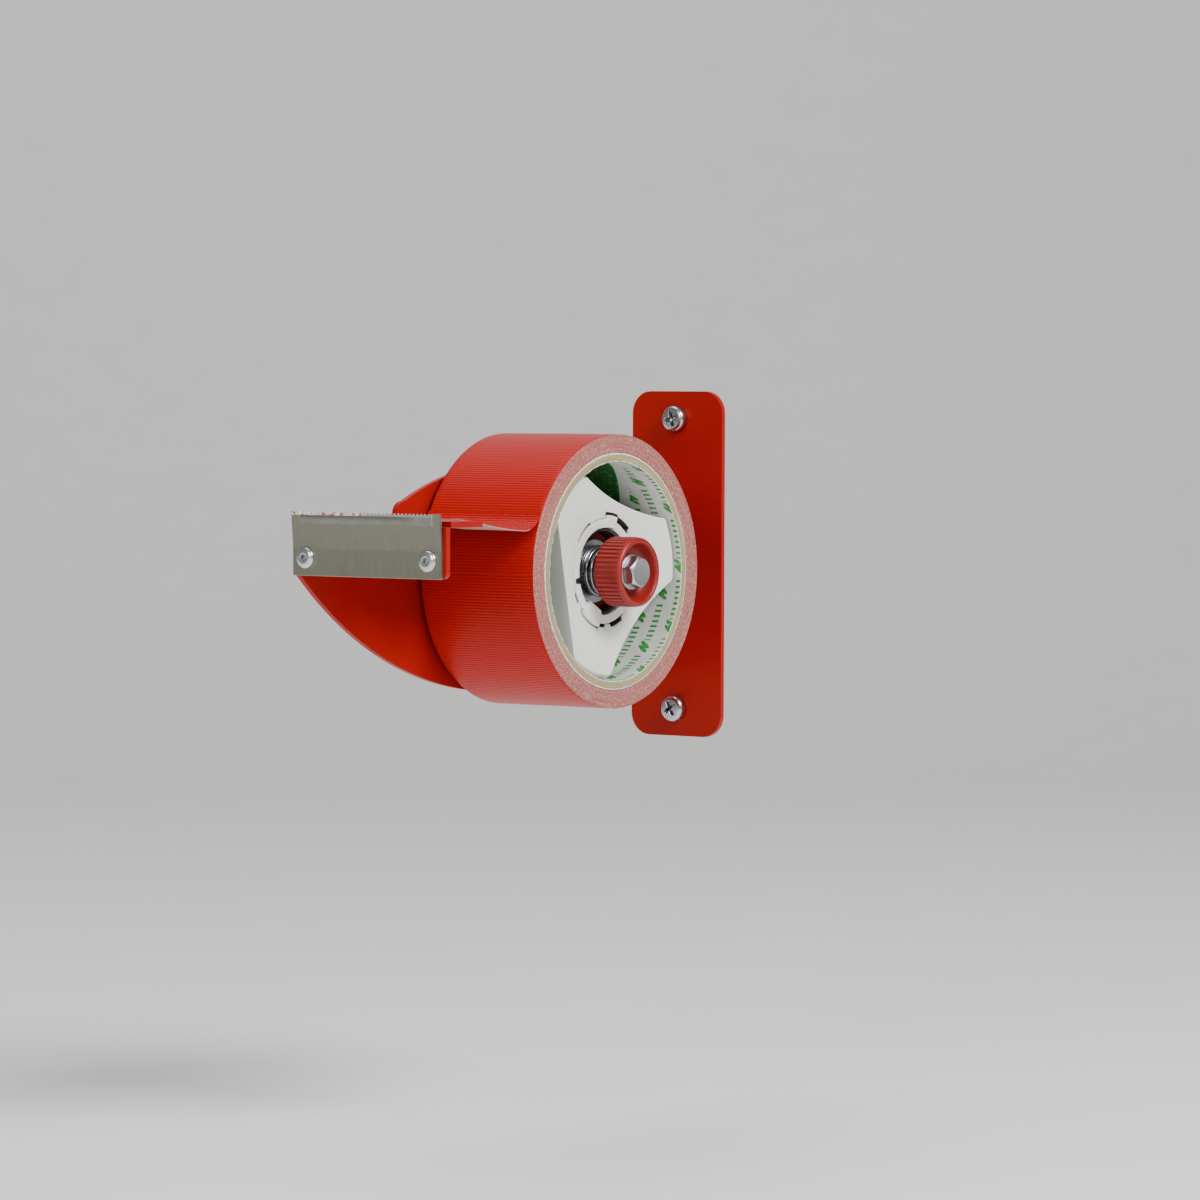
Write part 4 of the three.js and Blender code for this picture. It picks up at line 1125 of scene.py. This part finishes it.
def hexNut(s, finish):
    # a hexagon whose corners are cut by a cone at both ends, round a plain bore
    columns = 360
    turns = allTurns(columns)
    side = sixSided(turns, s["flat"], s["turn"])
    land = s["flat"] - 0.3
    fall = (side - land) * 0.55
    corners = [
        (s["outer"] + 0.5, s["bore"]),
        (s["outer"], s["bore"] + 0.5),
        (s["outer"], land),
        (s["outer"] + fall, side),
        (s["inner"] - fall, side),
        (s["inner"], land),
        (s["inner"], s["bore"]),
    ]
    path = profile(corners, columns)
    edges = [0.1, 0.12, 0.12, 0.15, 0.15, 0.1, 0.1]
    return turned("axleNut", softCorners(path, edges, 2, True), finish, columns, sharp=24)


settle(hexNut(nutSizes, finishes["zinc"]), "frame", "zinc_plate", "axle_nut")

studSizes = dict(
    tail=-27.0, collarBack=-17.9, collar=9.0, thick=1.6, front=38.0, pitch=1.25, cut=0.55
)


def axleStud(s, finish):
    # a rod with a collar; its tail and its front carry a thread, a radius that falls along a helix
    columns = 120
    turns = allTurns(columns)

    def threaded(low, high, radius, rows):
        x = np.linspace(low, high, rows)[:, None]
        phase = (x / s["pitch"] - turns[None] / 360) % 1
        r = radius - s["cut"] * np.abs(2 * phase - 1)
        return np.stack([np.broadcast_to(x, r.shape), r], -1)

    tail, collarBack, collar, front = (s[k] for k in ("tail", "collarBack", "collar", "front"))
    collarFront = collarBack + s["thick"]
    behind = [(-20.1, 4), (collarBack, 4), (collarBack, collar - 0.2), (collarBack + 0.2, collar)]
    ahead = [(collarFront - 0.2, collar), (collarFront, collar - 0.2), (collarFront, 5), (23, 5)]
    mouth = [(front - 0.1, 4.5), (front, 4.2), (front, 3.4), (front - 0.3, 3.15)]
    path = np.concatenate(
        [
            profile([(tail, 0), (tail, 3.0), (tail + 0.2, 3.3)], columns),
            threaded(tail + 0.5, -20.3, 4.0, 56),
            profile(behind + ahead, columns),
            threaded(23.4, front - 0.5, 5.0, 100),
            profile(mouth + [(20.1, 3.15), (20.0, 3.0), (20.0, 0)], columns),
        ]
    )
    return turned("axleStud", path, finish, columns, False, sharp=50)


settle(axleStud(studSizes, finishes["zinc"]), "frame", "zinc_plate", "axle_stud")
print("brake and axle made")

leadSizes = dict(
    left=-16.0,
    right=33.0,
    thick=0.3,
    leaves=154.0,  # degrees from +Y towards +Z
    peel=10.0,
    roll=47.7,
    restTop=19.3,
    restBack=-170.0,
    restFront=-187.0,
    end=(-192.9, 20.6),
    lift=0.1,
    sag=0.55,
    crease=0.5,
    creaseAt=0.28,  # across, as a share of the width, where it starts
    creaseRun=0.35,
    creaseWide=0.07,
    ripple=0.05,
    joined=14,  # rows that still touch the roll
)


def leadLine(s):
    # the loose tape's middle line in (Y, Z): an arc off the roll, a straight rise, the rest and the
    # blade
    lift = s["thick"] / 2 + s["lift"]
    far = s["roll"] + lift + s["peel"]
    a = math.radians(s["leaves"])
    middle = np.array([axisY + far * math.cos(a), far * math.sin(a)])
    level = s["restTop"] + lift
    ahead, above = middle[0] - s["restBack"], middle[1] - level
    rise = math.asin(s["peel"] / math.hypot(ahead, above)) - math.atan2(above, ahead)
    turn = np.linspace(math.radians(s["leaves"] + 180), math.radians(270) - rise, 17)
    arc = middle + s["peel"] * np.stack([np.cos(turn), np.sin(turn)], -1)
    corners = np.array([arc[-1], (s["restBack"], level), (s["restFront"], level), s["end"]])
    straight = softCorners(corners, 2.2, 4)
    return np.concatenate([arc[:-1], straight])


def looseTape(s, finish):
    # the line carried across the width, evenly spaced along its length, with a shallow sag and a
    # crease between the roll and the rest; both faces lie half the thickness off it
    line = leadLine(s)
    run = np.r_[0, np.cumsum(np.linalg.norm(np.diff(line, axis=0), axis=1))]
    rows = 110
    at = np.linspace(0, run[-1], rows)
    y, z = np.interp(at, run, line[:, 0]), np.interp(at, run, line[:, 1])
    slope = np.gradient(np.stack([y, z], -1), axis=0)
    normal = np.stack([slope[:, 1], -slope[:, 0]], -1)
    normal /= np.linalg.norm(normal, axis=1, keepdims=True)
    columns = 64
    x = np.linspace(s["left"], s["right"], columns)
    across = (x - s["left"]) / (s["right"] - s["left"])
    restAt = np.interp(s["restBack"], line[::-1, 0], run[::-1])
    free = np.clip(at / restAt, 0, 1)
    belly = np.sin(np.pi * free) ** 2
    free, belly = free[:, None], belly[:, None]
    crease = np.exp(-(((across - s["creaseAt"] - s["creaseRun"] * free) / s["creaseWide"]) ** 2))
    ripple = s["ripple"] * np.sin(9 * across + 3 * free)
    lift = (s["crease"] * crease - s["sag"] * across**2 + ripple) * belly

    def face(side):
        off = lift + side * s["thick"] / 2
        ahead, above = y[:, None] + normal[:, [0]] * off, z[:, None] + normal[:, [1]] * off
        return np.stack([np.broadcast_to(x, off.shape), ahead, above], -1)

    top, under = face(1), face(-1)
    middle = (top + under)[[0, -1]] / 2
    ends = np.concatenate([middle, middle[:, ::-1]], axis=1)
    faces = np.concatenate([top, under[:, ::-1]], axis=1)
    points = np.concatenate([ends[:1], faces, ends[1:]])
    wide = np.concatenate([x, x[::-1], x[:1]])
    length = np.r_[0, at, at[-1]]
    uv = np.stack(np.broadcast_arrays(length[:, None], wide[None]), -1)
    piece = gridPiece("tapeLead", points, False, True, uv, finish, sharp=60)
    co = np.empty(len(piece.data.vertices) * 3, np.float32)
    piece.data.vertices.foreach_get("co", co)
    co = co.reshape(-1, 3)
    lower = under[s["joined"] :].reshape(-1, 3) * mm
    low = {tuple(np.round(p, 6)) for p in lower.tolist()}
    flags = np.array([tuple(np.round(p, 6)) in low for p in co.tolist()], np.float32)
    layer = piece.data.attributes.new("adhesive", "FLOAT", "POINT")
    layer.data.foreach_set("value", flags)
    return piece, run[-1]


lead, leadLength = looseTape(leadSizes, finishes["lead"])
settle(lead, "frame", "tape_cloth", "tape_lead")
print("loose tape made, %.1f mm long" % leadLength)

floorSizes = dict(level=-0.2, near=-6.0, bend=1.6, radius=1.4, high=4.0, half=7.0)


def studioFloor(s):
    # a plain pale sheet: level, a quarter circle, then upright, turned to stand across the view
    finish, add, place = newFinish("paleFloor", "#f1f1ef", 0.8)
    speck = add("TexNoise", [place, 0, perMetre(40), 2, 0.55])
    tint = add("Mix", {0: speck, 6: tone("#f3f3f1"), 7: tone("#eeeeec")}, **asColour)
    joined(finish, Base_Color=tint)
    a = np.linspace(0, math.pi / 2, 24)
    depth = np.r_[s["near"], 0, s["bend"] + s["radius"] * np.sin(a), s["bend"] + s["radius"]]
    rise = np.r_[0, 0, s["radius"] * (1 - np.cos(a)), s["high"]] + s["level"]
    side = np.linspace(-s["half"], s["half"], 5)[:, None]
    away = np.array(cameraSetup["forward"][:2]) / np.hypot(*cameraSetup["forward"][:2])
    x = depth * away[0] + side * away[1]
    y = depth * away[1] - side * away[0]
    points = np.stack([x, y, np.broadcast_to(rise, x.shape)], -1) / mm
    floor = gridPiece("studioFloor", points, finish=finish)
    if floor.data.polygons[0].normal.z < 0:
        floor.data.flip_normals()


studioFloor(floorSizes)

lightSizes = dict(
    key=dict(place=(1.6, -0.3, 1.35), aim=(0, -0.08, 0), size=0.8, power=56),
    top=dict(place=(-0.35, -0.25, 1.5), aim=(0, -0.1, 0), size=1.0, power=8),
    front=dict(place=(0.5, -2.3, 0.9), aim=(0, -0.08, 0), size=0.9, power=23),
    back=dict(place=(-1.6, 1.0, 2.2), aim=(-1.6, 2.4, -0.1), size=1.6, power=10),
)


def softLight(name, s):
    # a round area light whose own axis points from its aim to its place
    data = bpy.data.lights.new(name, "AREA")
    data.shape = "DISK"
    data.size = s["size"]
    data.energy = s["power"]
    light = bpy.data.objects.new(name, data)
    away = np.array(s["place"]) - np.array(s["aim"])
    away /= np.linalg.norm(away)
    right = np.cross((0, 0, 1), away)
    right /= np.linalg.norm(right)
    placed(light, right, np.cross(away, right), away, s["place"])


for name, sizes in lightSizes.items():
    softLight(name + "Light", sizes)

world = bpy.data.worlds.new("paleRoom")
world.use_nodes = True
back = world.node_tree.nodes["Background"]
back.inputs["Color"].default_value = tone("#e9eaec")
back.inputs["Strength"].default_value = 0.28
bpy.context.scene.world = world
print("stage made")
